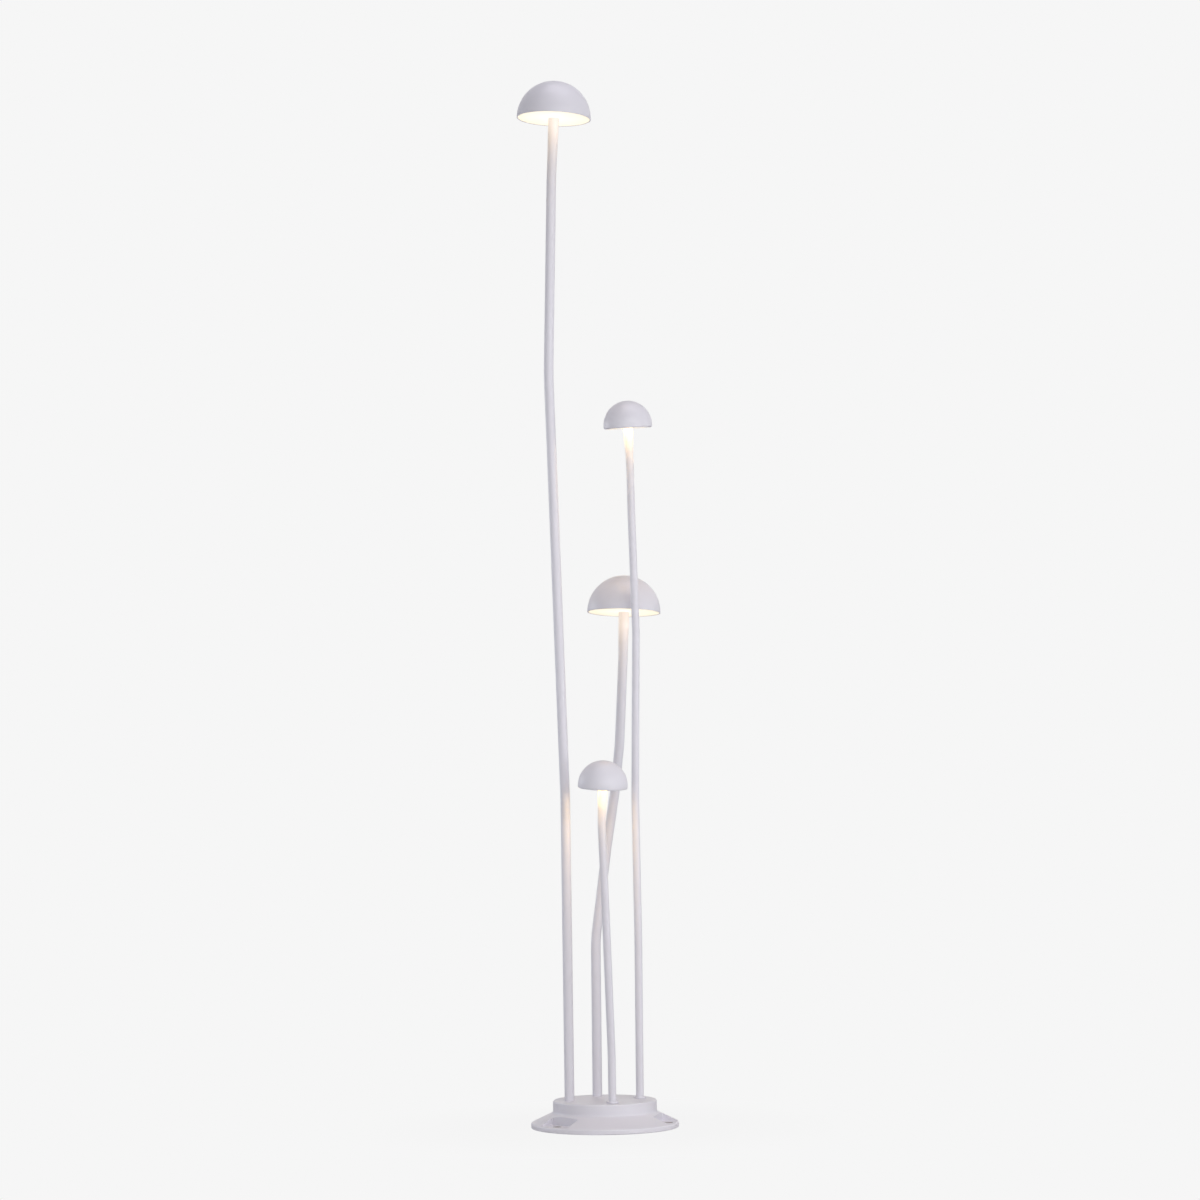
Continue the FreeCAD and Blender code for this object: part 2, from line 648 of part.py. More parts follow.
def driver_place(height, along=0.0, across=0.0):
    """A place in the base, along and across the driver."""
    turn = Rotation(UP, s.driver_angle.value)
    point = turn.multVec(Vector(float(along), float(across), 0))
    return Placement(point + UP * float(height), turn)


def make_base_plate():
    body = new_body("base_plate")
    disc = draw_circle(new_sketch(body, "plate_outline", "XY_Plane", s.plate_lift), (0, 0),
                       s.plate_radius)
    pad(body, "plate", disc, s.plate_thickness)
    centres = new_sketch(body, "plate_hole_centres", "XY_Plane", s.plate_lift)
    for angle in steps(s.plate_screw_count, s.plate_screw_angle):
        draw_circle(centres, on_circle(s.plate_screw_circle, angle),
                    s.plate_screw_radius + s.screw_gap)
    doc.recompute()
    hole = body.newObject("PartDesign::Hole", "plate_holes")
    hole.Profile = centres
    hole.Reversed = True
    hole.DepthType = "ThroughAll"
    hole.HoleCutType = "Countersink"
    hole.HoleCutCustomValues = True
    bind(hole, Diameter=(s.plate_screw_radius + s.screw_gap) * 2,
         HoleCutDiameter=(s.plate_screw_head + s.screw_gap) * 2)
    hole.HoleCutCountersinkAngle = COUNTERSINK_ANGLE
    return finish(body, "base_plate")


def make_base_gasket():
    body = new_body("base_gasket")
    ring = new_sketch(body, "gasket_outline", "XY_Plane", s.plate_top)
    draw_circle(ring, (0, 0), s.plate_radius)
    draw_circle(ring, (0, 0), s.cavity_radius)
    for angle in steps(s.plate_screw_count, s.plate_screw_angle):
        draw_circle(ring, on_circle(s.plate_screw_circle, angle),
                    s.plate_screw_radius + s.screw_gap)
    pad(body, "gasket", ring, s.gasket_thickness)
    return finish(body, "base_gasket")


def group(name, label, pattern, places):
    """Identical fasteners as one node: the pattern's shape at each place."""
    doc.recompute()
    copies = []
    for place in places:
        shape = pattern.Shape.copy()
        shape.Placement = place.multiply(shape.Placement)
        copies.append(shape)
    thing = doc.addObject("Part::Feature", name)
    thing.Shape = Part.makeCompound(copies)
    return finish(thing, label)


def make_plate_screws():
    head = s.plate_screw_head - s.plate_screw_radius
    cone = add("Part::Cone", "plate_screw_cone", Radius1=s.plate_screw_head,
               Radius2=s.plate_screw_radius, Height=head)
    shank = add("Part::Cylinder", "plate_screw_shank", Radius=s.plate_screw_radius,
                Height=s.plate_screw_length)
    socket = add("Part::Prism", "plate_screw_recess", Circumradius=s.plate_screw_socket,
                 Height=s.plate_screw_socket_depth)
    screw = cut("plate_screw", fuse("plate_screw_solid", cone, shank), socket)
    places = []
    for angle in steps(s.plate_screw_count, s.plate_screw_angle):
        x, y = on_circle(s.plate_screw_circle, angle)
        places.append(Placement(Vector(x.value, y.value, s.plate_lift.value), Rotation()))
    group("plate_screw_set", "base_plate_screws", screw, places)


def pan_screw(name, radius, head_radius, head_height, grip):
    """A pan-head screw that points up, with its head's seat at height 0."""
    head = placed(add("Part::Cylinder", name + "_head", Radius=head_radius, Height=head_height),
                  Placement(Vector(0, 0, -head_height.value), Rotation()))
    head.setExpression("Placement.Base.z", (-head_height).formula)
    shank = add("Part::Cylinder", name + "_shank", Radius=radius, Height=grip)
    socket = placed(add("Part::Prism", name + "_socket", Circumradius=head_radius * SOCKET_WIDTH_SHARE,
                        Height=head_height * SOCKET_DEPTH_SHARE),
                    Placement(Vector(0, 0, -head_height.value), Rotation()))
    socket.setExpression("Placement.Base.z", (-head_height).formula)
    return cut(name, fuse(name + "_solid", head, shank), socket)


def make_driver():
    body = new_body("led_driver", driver_place(s.stand_off_foot))
    ears = new_sketch(body, "driver_ears_outline", "XY_Plane", -s.driver_ear_thickness)
    reach = s.driver_length / 2 + s.driver_ear_length
    draw_rectangle(ears, (-reach, -s.driver_ear_width / 2), (reach, s.driver_ear_width / 2))
    pad(body, "driver_ears", ears, s.driver_ear_thickness)
    block = new_sketch(body, "driver_case_outline", "XY_Plane", -s.driver_height)
    draw_rectangle(block, (-s.driver_length / 2, -s.driver_width / 2),
                   (s.driver_length / 2, s.driver_width / 2))
    pad(body, "driver_case", block, s.driver_height)
    doc.recompute()
    case = body.Tip
    upright = [f"Edge{n}" for n, e in enumerate(case.Shape.Edges, start=1)
               if abs(abs(e.tangentAt(e.FirstParameter).z) - 1) < TOLERANCE
               and abs(abs(e.Vertexes[0].X) - s.driver_length.value / 2) < TOLERANCE
               and abs(abs(e.Vertexes[0].Y) - s.driver_width.value / 2) < TOLERANCE]
    rounding = body.newObject("PartDesign::Fillet", "driver_case_edges")
    rounding.Base = (case, upright)
    bind(rounding, Radius=s.driver_round)
    drill = new_sketch(body, "driver_ear_holes_outline", "XY_Plane", 0)
    for side in (-1, 1):
        draw_circle(drill, (side * s.driver_screw_offset, 0), s.stand_off_bore)
    pocket(body, "driver_ear_holes", drill, s.driver_ear_thickness + MARGIN)
    return finish(body, "led_driver")


def make_terminal_block():
    body = new_body("terminal_block", driver_place(s.stand_off_foot, 0, -s.terminal_offset))
    case = new_sketch(body, "terminal_case_outline", "XY_Plane", -s.terminal_height)
    draw_rectangle(case, (-s.terminal_length / 2, -s.terminal_width / 2),
                   (s.terminal_length / 2, s.terminal_width / 2))
    pad(body, "terminal_case", case, s.terminal_height)
    fixing = draw_circle(new_sketch(body, "terminal_fixing_outline", "XY_Plane", 0), (0, 0),
                         s.stand_off_bore)
    pocket(body, "terminal_fixing", fixing, s.terminal_height + MARGIN)
    wells = new_sketch(body, "terminal_well_outline", "XY_Plane", -s.terminal_height)
    for side in (-1, 1):
        for row in (-1, 1):
            draw_circle(wells, (side * s.terminal_pole_pitch, row * s.terminal_width / 4),
                        s.terminal_wire_radius)
    pocket(body, "terminal_wells", wells, s.terminal_height / 2, away=True)
    return finish(body, "terminal_block")


def make_base_screws():
    """Screws that hold the driver, the terminal block and the earth lug."""
    deep = s.stand_off_screw_grip
    sizes = (s.stand_off_screw_radius, s.stand_off_screw_head, s.stand_off_screw_head_height)
    ear = s.driver_ear_thickness
    screw = pan_screw("driver_screw", *sizes, ear + deep)
    group("driver_screw_set", "driver_screws", screw, [
        driver_place(s.stand_off_foot - ear, side * s.driver_screw_offset) for side in (-1, 1)])
    screw = pan_screw("terminal_screw_body", *sizes, s.terminal_height + deep)
    finish(placed(screw, driver_place(s.stand_off_foot - s.terminal_height, 0,
                                      -s.terminal_offset)), "terminal_screw")
    screw = pan_screw("earth_screw_body", *sizes, s.earth_lug_thickness + deep)
    finish(placed(screw, driver_place(s.stand_off_foot - s.earth_lug_thickness, s.earth_along,
                                      -s.earth_across)), "earth_screw")


def make_earth_lug():
    ring = add("Part::Cylinder", "earth_lug_ring", Radius=s.earth_lug_radius,
               Height=s.earth_lug_thickness)
    tongue = placed(add("Part::Box", "earth_lug_tongue", Length=s.earth_lug_reach,
                        Width=s.earth_lug_width, Height=s.earth_lug_thickness),
                    Placement(Vector(-s.earth_lug_reach.value, -s.earth_lug_width.value / 2, 0),
                              Rotation()))
    tongue.setExpression("Placement.Base.x", (-s.earth_lug_reach).formula)
    tongue.setExpression("Placement.Base.y", (-s.earth_lug_width / 2).formula)
    hole = add("Part::Cylinder", "earth_lug_hole", Radius=s.stand_off_bore,
               Height=s.earth_lug_thickness)
    lug = cut("earth_lug_body", fuse("earth_lug_blank", ring, tongue), hole)
    finish(placed(lug, driver_place(s.stand_off_foot - s.earth_lug_thickness, s.earth_along,
                                    -s.earth_across)), "earth_lug")


def make_supply_wires():
    """Two short wires from the terminal block to the driver's side."""
    gap = s.terminal_offset - s.terminal_width / 2 - s.driver_width / 2
    wire = add("Part::Cylinder", "supply_wire", Radius=s.supply_wire_radius, Height=gap)
    level = s.stand_off_foot - s.terminal_height / 2
    lying = Rotation(Vector(1, 0, 0), -90)
    start = -(s.driver_width / 2 + gap)
    places = [driver_place(level, side * s.terminal_pole_pitch, start).multiply(
        Placement(Vector(), lying)) for side in (-1, 1)]
    group("supply_wire_set", "supply_wires", wire, places)


# ---- cable gland --------------------------------------------------------------------------


def gland_place(distance):
    """A frame whose +Z points out of the drum along the gland's axis."""
    x, y = on_circle(distance, s.gland_angle)
    outward = Vector(x.value, y.value, 0).normalize()
    upright = Rotation(UP.cross(outward), UP, outward, "ZYX")
    return Placement(Vector(x.value, y.value, s.gland_height.value), upright)


def hexagon(name, across_flats, height):
    """A six-sided bar with a flat on top when it lies along the gland's axis."""
    return add("Part::Prism", name, Circumradius=across_flats / math.sqrt(3), Height=height)


def cylinder(name, radius, height, start=0):
    start = as_size(start)
    thing = add("Part::Cylinder", name, Radius=radius, Height=height)
    thing.Placement = Placement(Vector(0, 0, start.value), Rotation())
    thing.setExpression("Placement.Base.z", start.formula)
    return thing


def make_gland():
    tail = s.gland_washer_thickness + s.gland_wall + s.gland_tail_length
    seat = gland_place(s.gland_washer_top)

    flange = hexagon("gland_hexagon", s.gland_across_flats, s.gland_flange_thickness)
    stem = cylinder("gland_thread", s.gland_thread_radius, tail, -tail)
    collar = cylinder("gland_collar", s.gland_collar_radius,
                      s.gland_flange_thickness + s.gland_collar_length)
    bore = cylinder("gland_bore", s.gland_bore_radius,
                    tail + s.gland_flange_thickness + s.gland_collar_length, -tail)
    body = cut("gland_body_solid", fuse("gland_body_blank", flange, stem, collar), bore)
    finish(placed(body, seat), "gland_body")

    ring = cut("gland_washer_solid",
               cylinder("gland_washer_disc", s.gland_across_flats / 2, s.gland_washer_thickness),
               cylinder("gland_washer_hole", s.gland_thread_radius + s.fit_gap,
                        s.gland_washer_thickness))
    finish(placed(ring, gland_place(s.gland_seat_radius)), "gland_washer")

    nut = cut("gland_nut_solid", hexagon("gland_nut_hexagon", s.gland_across_flats,
                                         s.gland_nut_height),
              cylinder("gland_nut_hole", s.gland_thread_radius + s.fit_gap, s.gland_nut_height))
    finish(placed(nut, gland_place(s.gland_pad_radius - s.gland_nut_height)), "gland_nut")

    cap_start = s.gland_flange_thickness + s.gland_cap_gap
    round_part = cylinder("gland_cap_round", s.gland_across_flats / 2, s.gland_cap_length)
    dome = doc.addObject("Part::Fillet", "gland_cap_dome")
    dome.Base = round_part
    doc.recompute()
    top = next(n for n, e in enumerate(round_part.Shape.Edges, start=1)
               if isinstance(e.Curve, Part.Circle) and e.Curve.Center.z > TOLERANCE)
    dome.Edges = [(top, s.gland_cap_round.value, s.gland_cap_round.value)]
    grip = hexagon("gland_cap_hexagon", s.gland_across_flats,
                   s.gland_cap_length - s.gland_cap_round)
    room = cylinder("gland_cap_room", s.gland_collar_radius + s.fit_gap,
                    s.gland_cap_length - s.gland_cap_lip)
    mouth = cylinder("gland_cap_mouth_hole", s.gland_cap_mouth, s.gland_cap_length)
    cap = cut("gland_cap_solid", fuse("gland_cap_blank", dome, grip), room, mouth)
    finish(placed(cap, gland_place(s.gland_washer_top + cap_start)), "gland_cap")

    seal_end = cap_start + s.gland_cap_length - s.gland_cap_lip
    sleeve = cut("gland_seal_solid",
                 cylinder("gland_seal_sleeve", s.gland_bore_radius, s.gland_seal_length),
                 cylinder("gland_seal_hole", s.gland_seal_bore, s.gland_seal_length))
    finish(placed(sleeve, gland_place(s.gland_washer_top + seal_end - s.gland_seal_length)),
           "gland_seal")


# ---- tubes, their fasteners and their leads -------------------------------------------------


def foot_point(item):
    """Centre of the tube's foot, on top of the drum."""
    x, y = on_circle(s.foot_circle_radius, getattr(s, f"{item.name}_foot_angle"))
    return Vector(x.value, y.value, s.drum_height.value)


def tube_points(item):
    """The foot, the corner after each run, and last the centre of the cap's rim."""
    points = [foot_point(item)]
    for number in range(1, item.runs + 1):
        step = Vector(*(getattr(s, f"{item.name}_run{number}_{axis}").value for axis in AXES))
        points.append(points[-1] + step)
    return points


def head_frame(item):
    """Frame of a head: the centre of the rim, with +Z along the tube's last run."""
    points = tube_points(item)
    axis = (points[-1] - points[-2]).normalize()
    return Placement(points[-1], Rotation(UP, axis))


def rounded_line(points, radii):
    """One wire of straight runs joined by arcs that are tangent to both of their runs."""
    edges = []
    start = points[0]
    for before, corner, after, radius in zip(points, points[1:], points[2:], radii):
        back = (before - corner).normalize()
        ahead = (after - corner).normalize()
        half_turn = (math.pi - back.getAngle(ahead)) / 2
        reach = radius * math.tan(half_turn)
        arc_start = corner + back * reach
        arc_end = corner + ahead * reach
        inward = (back + ahead).normalize()
        middle = corner + inward * (radius / math.cos(half_turn) - radius)
        edges.append(Part.LineSegment(start, arc_start).toShape())
        edges.append(Part.Arc(arc_start, middle, arc_end).toShape())
        start = arc_end
    edges.append(Part.LineSegment(start, points[-1]).toShape())
    return Part.Wire(edges)


def sweep_along(name, points, radii, radius):
    """A round bar along a rounded line."""
    route = doc.addObject("Part::Feature", name + "_route")
    route.Shape = rounded_line(points, radii)
    start = (points[1] - points[0]).normalize()
    ring = placed(add("Part::Circle", name + "_section", Radius=radius),
                  Placement(points[0], Rotation(UP, start)))
    bar = doc.addObject("Part::Sweep", name)
    bar.Sections = [ring]
    bar.Spine = (route, [f"Edge{n}" for n in range(1, len(route.Shape.Edges) + 1)])
    bar.Solid = True
    bar.Frenet = False
    bar.Transition = "Transformed"
    return bar


def head_sizes(kind):
    """The sizes of one kind of head, large or small, with those that all heads share."""
    prefix = kind + "_"
    k = SimpleNamespace(**{name[len(prefix):]: size for name, size in vars(s).items()
                           if name.startswith(prefix)})
    k.shoulder = k.hub_height - s.hub_collar_height
    k.hub_top = k.hub_height + s.hub_thickness
    k.thread_end = k.hub_top + s.head_nut_height + s.head_thread_spare
    k.boss_circle = k.board_radius + k.screw_gap + s.hub_screw_head
    k.hub_radius = k.boss_circle + k.hub_margin
    k.lead_circle = k.nut_radius + k.lead_offset
    k.inner_radius = k.cap_radius - s.cap_wall
    k.rebate_radius = k.cap_radius - k.rim_width
    k.diffuser_radius = k.rebate_radius - s.diffuser_gap
    k.diffuser_top = s.diffuser_recess + s.diffuser_thickness
    k.ledge_radius = k.rebate_radius - s.seal_width - s.diffuser_gap
    k.ledge_bottom = k.diffuser_top + s.seal_thickness
    k.ledge_top = k.ledge_bottom + s.ledge_thickness
    return k


def foot_thread_end():
    """How far the tube's threaded foot reaches below the drum's top."""
    return (s.drum_top_wall + s.foot_washer_thickness + s.foot_nut_height + s.foot_thread_spare)


def along(start, end, distance):
    return start + (end - start).normalize() * distance


def make_tube(item):
    """A bent tube, faced flat at its foot, with a flare, a neck and threaded ends."""
    k = head_sizes(item.kind)
    points = tube_points(item)
    radii = [getattr(s, f"{item.name}_bend_radius").value] * (len(points) - 2)
    axis_end = along(points[-1], points[-2], -k.shoulder.value)
    plug_low = along(points[0], points[1], s.foot_plug_depth.value)
    plug_high = along(axis_end, points[-2], s.foot_plug_depth.value)
    start = along(points[0], points[1], -MARGIN)
    outer = sweep_along(item.name + "_tube_outside", [start] + points[1:-1] + [axis_end], radii,
                        k.tube_radius)
    inner = sweep_along(item.name + "_tube_inside", [plug_low] + points[1:-1] + [plug_high],
                        radii, k.tube_radius - s.tube_wall)

    head = head_frame(item)
    flare = add("Part::Cone", item.name + "_flare", Radius1=k.tube_radius,
                Radius2=k.neck_radius, Height=k.flare_length)
    flare.Placement = head.multiply(Placement(Vector(0, 0, -k.flare_length.value), Rotation()))
    neck = placed(add("Part::Cylinder", item.name + "_neck", Radius=k.neck_radius,
                      Height=k.shoulder), head)
    rise = k.thread_end - k.shoulder + s.foot_plug_depth
    low = head.multiply(Placement(Vector(0, 0, (k.thread_end - rise).value), Rotation()))
    head_thread = placed(add("Part::Cylinder", item.name + "_head_thread",
                             Radius=k.thread_radius, Height=rise), low)
    head_bore = placed(add("Part::Cylinder", item.name + "_head_bore", Radius=k.thread_bore,
                           Height=rise), low)

    deep = foot_thread_end()
    foot = Placement(points[0] - UP * deep.value, Rotation())
    foot_thread = placed(add("Part::Cylinder", item.name + "_foot_thread",
                             Radius=k.thread_radius, Height=deep + s.foot_plug_depth), foot)
    foot_bore = placed(add("Part::Cylinder", item.name + "_foot_bore", Radius=k.thread_bore,
                           Height=deep + s.foot_plug_depth + MARGIN), foot)
    facing = placed(add("Part::Cylinder", item.name + "_facing", Radius=k.tube_radius + MARGIN,
                        Height=MARGIN * 2), Placement(points[0] - UP * MARGIN * 2, Rotation()))
    faced = cut(item.name + "_tube_faced", outer, facing)
    blank = fuse(item.name + "_tube_blank", faced, flare, neck, head_thread, foot_thread)
    tube = cut(item.name + "_tube_solid", blank, inner, head_bore, foot_bore)
    return finish(tube, item.name + "_tube")


def make_lead(item):
    """The lead from the driver's side, up the tube, over and down to the circuit board."""
    k = head_sizes(item.kind)
    head = head_frame(item)
    points = tube_points(item)
    foot = points[0]
    level = foot.z - (foot_thread_end() + s.lead_foot_drop).value
    across = driver_place(0).Rotation.multVec(Vector(0, 1, 0))
    side = 1 if foot.dot(across) > 0 else -1
    to_driver = across * -side * (abs(foot.dot(across)) - s.driver_width.value / 2)
    low = Vector(foot.x, foot.y, level)
    crown = k.thread_end + s.lead_head_rise + k.lead_circle / 2
    route = [low + to_driver, low, foot] + points[1:-1]
    route += [head.multVec(Vector(x, 0, z)) for x, z in (
        (0, crown.value), (k.lead_circle.value, crown.value),
        (k.lead_circle.value, k.hub_height.value))]
    bend = getattr(s, f"{item.name}_bend_radius").value
    loop = k.lead_circle.value / 2 * LOOP_SHARE
    radii = [s.lead_foot_bend.value, bend] + [bend] * (len(points) - 2) + [loop, loop]
    lead = sweep_along(item.name + "_lead_core", route, radii, s.lead_radius)
    return finish(lead, item.name + "_lead")


def make_fastener_sets():
    """Nuts and washers of the tubes, and the rings round the slim tubes' feet."""
    for kind in ("large", "small"):
        k = head_sizes(kind)
        items = [item for item in MUSHROOMS if item.kind == kind]
        feet = [foot_point(item) for item in items]
        under = s.drum_top_wall + s.foot_washer_thickness
        hole = k.thread_radius + s.fit_gap
        washer = cut(kind + "_washer_solid",
                     cylinder(kind + "_washer_disc", k.washer_radius, s.foot_washer_thickness),
                     cylinder(kind + "_washer_hole", hole, s.foot_washer_thickness))
        group(kind + "_washer_set", kind + "_foot_washers", washer,
              [Placement(foot - UP * under.value, Rotation()) for foot in feet])
        nut = cut(kind + "_foot_nut_solid",
                  add("Part::Prism", kind + "_foot_nut_hexagon", Circumradius=k.nut_radius,
                      Height=s.foot_nut_height),
                  cylinder(kind + "_foot_nut_hole", hole, s.foot_nut_height))
        lower = (under + s.foot_nut_height).value
        group(kind + "_foot_nut_set", kind + "_foot_nuts", nut,
              [Placement(foot - UP * lower, Rotation()) for foot in feet])
        nut = cut(kind + "_head_nut_solid",
                  add("Part::Prism", kind + "_head_nut_hexagon", Circumradius=k.nut_radius,
                      Height=s.head_nut_height),
                  cylinder(kind + "_head_nut_hole", hole, s.head_nut_height))
        seat = Placement(Vector(0, 0, k.hub_top.value), Rotation())
        group(kind + "_head_nut_set", kind + "_head_nuts", nut,
              [head_frame(item).multiply(seat) for item in items])

    ring = new_body("foot_collar_ring")
    inside = s.small_tube_radius + s.fit_gap
    edge = s.collar_radius - s.collar_round
    shoulder = s.collar_height - s.collar_round
    revolve(ring, "foot_collar_outline", [
        (inside, 0), (s.collar_radius, 0), (s.collar_radius, shoulder),
        (edge, s.collar_height, edge, shoulder, s.collar_round), (inside, s.collar_height)])
    group("foot_collar_set", "foot_collars", ring,
          [Placement(foot_point(item), Rotation()) for item in MUSHROOMS if item.kind == "small"])


# ---- heads ----------------------------------------------------------------------------------


def make_cap(item):
    """Thin dome with a rebate for the diffuser, a ledge for its seal, and screw bosses."""
    k = head_sizes(item.kind)
    body = new_body(item.name + "_cap_body", head_frame(item))
    crown = k.cap_skirt + k.cap_radius
    inner_crown = k.cap_skirt + k.inner_radius
    rise = k.ledge_top - k.cap_skirt
    inner_start = root(k.inner_radius * k.inner_radius - rise * rise)
    edge = k.cap_radius - k.rim_round
    revolve(body, item.name + "_cap_shell", [
        (k.rebate_radius, 0), (edge, 0),
        (k.cap_radius, k.rim_round, edge, k.rim_round, k.rim_round),
        (k.cap_radius, k.cap_skirt),
        (0, crown, 0, k.cap_skirt, k.cap_radius),
        (0, inner_crown),
        (inner_start, k.ledge_top, 0, k.cap_skirt, k.inner_radius),
        (k.ledge_radius, k.ledge_top), (k.ledge_radius, k.ledge_bottom),
        (k.rebate_radius, k.ledge_bottom)])
    if item.kind == "large":
        low, high = s.shadow_line_height, s.shadow_line_height + s.shadow_line_width
        floor = k.cap_radius - s.shadow_line_depth
        revolve(body, item.name + "_shadow_line", [
            (floor, low), (k.cap_radius + MARGIN, low), (k.cap_radius + MARGIN, high), (floor, high)],
            "PartDesign::Groove")
    doc.recompute()
    boss = new_sketch(body, item.name + "_boss_outline", "XY_Plane", k.hub_top)
    draw_circle(boss, (k.boss_circle, 0), s.boss_radius)
    column = body.newObject("PartDesign::Pad", item.name + "_boss")
    column.Profile = boss
    column.Type = "UpToFirst"
    doc.recompute()
    repeat(body, item.name + "_bosses", column, s.boss_count)
    taps = new_sketch(body, item.name + "_boss_taps_outline", "XY_Plane", k.hub_top)
    for angle in steps(s.boss_count, as_size(0)):
        draw_circle(taps, on_circle(k.boss_circle, angle), s.hub_screw_radius + s.screw_gap)
    pocket(body, item.name + "_boss_taps", taps, s.boss_drill_depth, away=True)
    return finish(body, item.name + "_cap")


def make_hub(item):
    """Aluminium plate on the neck: it carries the circuit board and the cap."""
    k = head_sizes(item.kind)
    body = new_body(item.name + "_hub_body", head_frame(item))
    bore = k.thread_radius + s.fit_gap
    lip = k.hub_radius - s.hub_lip_width
    revolve(body, item.name + "_hub_plate", [
        (bore, k.shoulder), (s.hub_collar_radius, k.shoulder),
        (s.hub_collar_radius, k.hub_height), (k.hub_radius, k.hub_height),
        (k.hub_radius, k.hub_top + s.hub_lip_height), (lip, k.hub_top + s.hub_lip_height),
        (lip, k.hub_top), (bore, k.hub_top)])
    holes = new_sketch(body, item.name + "_hub_holes_outline", "XY_Plane", k.hub_top)
    for angle in steps(s.boss_count, as_size(0)):
        draw_circle(holes, on_circle(k.boss_circle, angle), s.hub_screw_radius + s.screw_gap)
    draw_circle(holes, on_circle(k.lead_circle, 0), s.lead_radius + s.fit_gap)
    pocket(body, item.name + "_hub_holes", holes, s.hub_thickness + MARGIN)
    return finish(body, item.name + "_hub")


def make_board(item):
    """Round circuit board with its ring of light-emitting chips facing down."""
    k = head_sizes(item.kind)
    body = new_body(item.name + "_board_body", head_frame(item))
    low = k.hub_height - s.board_thickness
    ring = new_sketch(body, item.name + "_board_outline", "XY_Plane", low)
    draw_circle(ring, (0, 0), k.board_radius)
    draw_circle(ring, (0, 0), s.board_bore_radius)
    pad(body, item.name + "_board_disc", ring, s.board_thickness)
    chip = new_sketch(body, item.name + "_chip_outline", "XY_Plane", low - s.chip_height)
    draw_rectangle(chip, (k.lamp_circle - s.chip_width / 2, -s.chip_length / 2),
                   (k.lamp_circle + s.chip_width / 2, s.chip_length / 2))
    chip = pad(body, item.name + "_chip", chip, s.chip_height)
    repeat(body, item.name + "_chips", chip, k.lamp_count)
    return finish(body, item.name + "_led_board")


def make_diffuser(item):
    k = head_sizes(item.kind)
    body = new_body(item.name + "_diffuser_body", head_frame(item))
    hole = k.neck_radius + s.diffuser_gap
    revolve(body, item.name + "_diffuser_disc", [
        (hole, s.diffuser_recess), (k.diffuser_radius, s.diffuser_recess),
        (k.diffuser_radius, k.diffuser_top), (hole, k.diffuser_top)])
    return finish(body, item.name + "_diffuser")


def make_seal(item):
    k = head_sizes(item.kind)
    body = new_body(item.name + "_seal_body", head_frame(item))
    revolve(body, item.name + "_seal_ring", [
        (k.ledge_radius, k.diffuser_top), (k.diffuser_radius, k.diffuser_top),
        (k.diffuser_radius, k.ledge_bottom), (k.ledge_radius, k.ledge_bottom)])
    return finish(body, item.name + "_seal")


def make_hub_screws():
    """Three screws in each head, up through its plate into the cap's bosses."""
    screw = pan_screw("hub_screw", s.hub_screw_radius, s.hub_screw_head,
                      s.hub_screw_head_height, s.hub_thickness + s.hub_screw_grip)
    places = []
    for item in MUSHROOMS:
        k = head_sizes(item.kind)
        for angle in steps(s.boss_count, as_size(0)):
            x, y = on_circle(k.boss_circle, angle)
            spot = Placement(Vector(x.value, y.value, k.hub_height.value), Rotation())
            places.append(head_frame(item).multiply(spot))
    group("hub_screw_set", "hub_screws", screw, places)


def write_files():
    """Check every object, then write one file for each sub-part."""
    doc.recompute()
    for thing in doc.Objects:
        if "Invalid" in thing.State or "Error" in thing.State:
            raise RuntimeError(f"{thing.Name} is {thing.State}")
    os.makedirs("parts", exist_ok=True)
    for thing in finished:
        shape = thing.Shape
        if shape.isNull() or not shape.isValid() or not shape.Solids:
            raise RuntimeError(f"{thing.Label} has no sound solid")
        shape.exportStep(os.path.join("parts", thing.Label + ".step"))
        print(f"{thing.Label:20s} solids {len(shape.Solids):2d}  volume {shape.Volume:10.1f}")
    print(len(finished), "sub-parts")


fill_sheet()
base_sizes()
make_base_housing()
make_base_plate()
make_base_gasket()
make_plate_screws()
make_driver()
make_terminal_block()
make_base_screws()
make_earth_lug()
make_supply_wires()
make_gland()
for mushroom in MUSHROOMS:
    make_tube(mushroom)
    make_lead(mushroom)
    make_cap(mushroom)
    make_hub(mushroom)
    make_board(mushroom)
    make_diffuser(mushroom)
    make_seal(mushroom)
make_fastener_sets()
make_hub_screws()
write_files()
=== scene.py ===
"""Looks of a floor lamp with four mushroom heads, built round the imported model.

Lengths are in millimetres in the classes and functions below, and become metres when a
surface goes into a mesh. The frame is the model's own: the origin is on the floor under
the base's centre, +Z is up, and the lamp is seen from -Y with +X to the right.
"""

import logging
import math
from dataclasses import dataclass, field
from enum import Enum
from typing import Any, ClassVar

import bmesh
import bpy
import numpy as np
from mathutils import Matrix, Vector

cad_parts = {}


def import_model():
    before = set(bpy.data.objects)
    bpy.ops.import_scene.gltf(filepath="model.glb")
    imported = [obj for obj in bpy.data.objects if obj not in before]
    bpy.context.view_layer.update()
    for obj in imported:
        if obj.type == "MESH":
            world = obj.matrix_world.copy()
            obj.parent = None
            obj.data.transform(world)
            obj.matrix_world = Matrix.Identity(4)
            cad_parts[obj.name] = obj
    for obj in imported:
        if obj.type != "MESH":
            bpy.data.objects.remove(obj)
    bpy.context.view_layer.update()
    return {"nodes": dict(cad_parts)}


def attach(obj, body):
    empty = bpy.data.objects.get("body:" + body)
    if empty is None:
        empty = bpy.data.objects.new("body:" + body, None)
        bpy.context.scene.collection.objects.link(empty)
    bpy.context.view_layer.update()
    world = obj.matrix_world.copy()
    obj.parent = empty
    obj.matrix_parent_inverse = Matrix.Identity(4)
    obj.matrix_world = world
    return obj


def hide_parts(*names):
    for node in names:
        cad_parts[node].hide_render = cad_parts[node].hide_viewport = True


log = logging.getLogger("lamp")

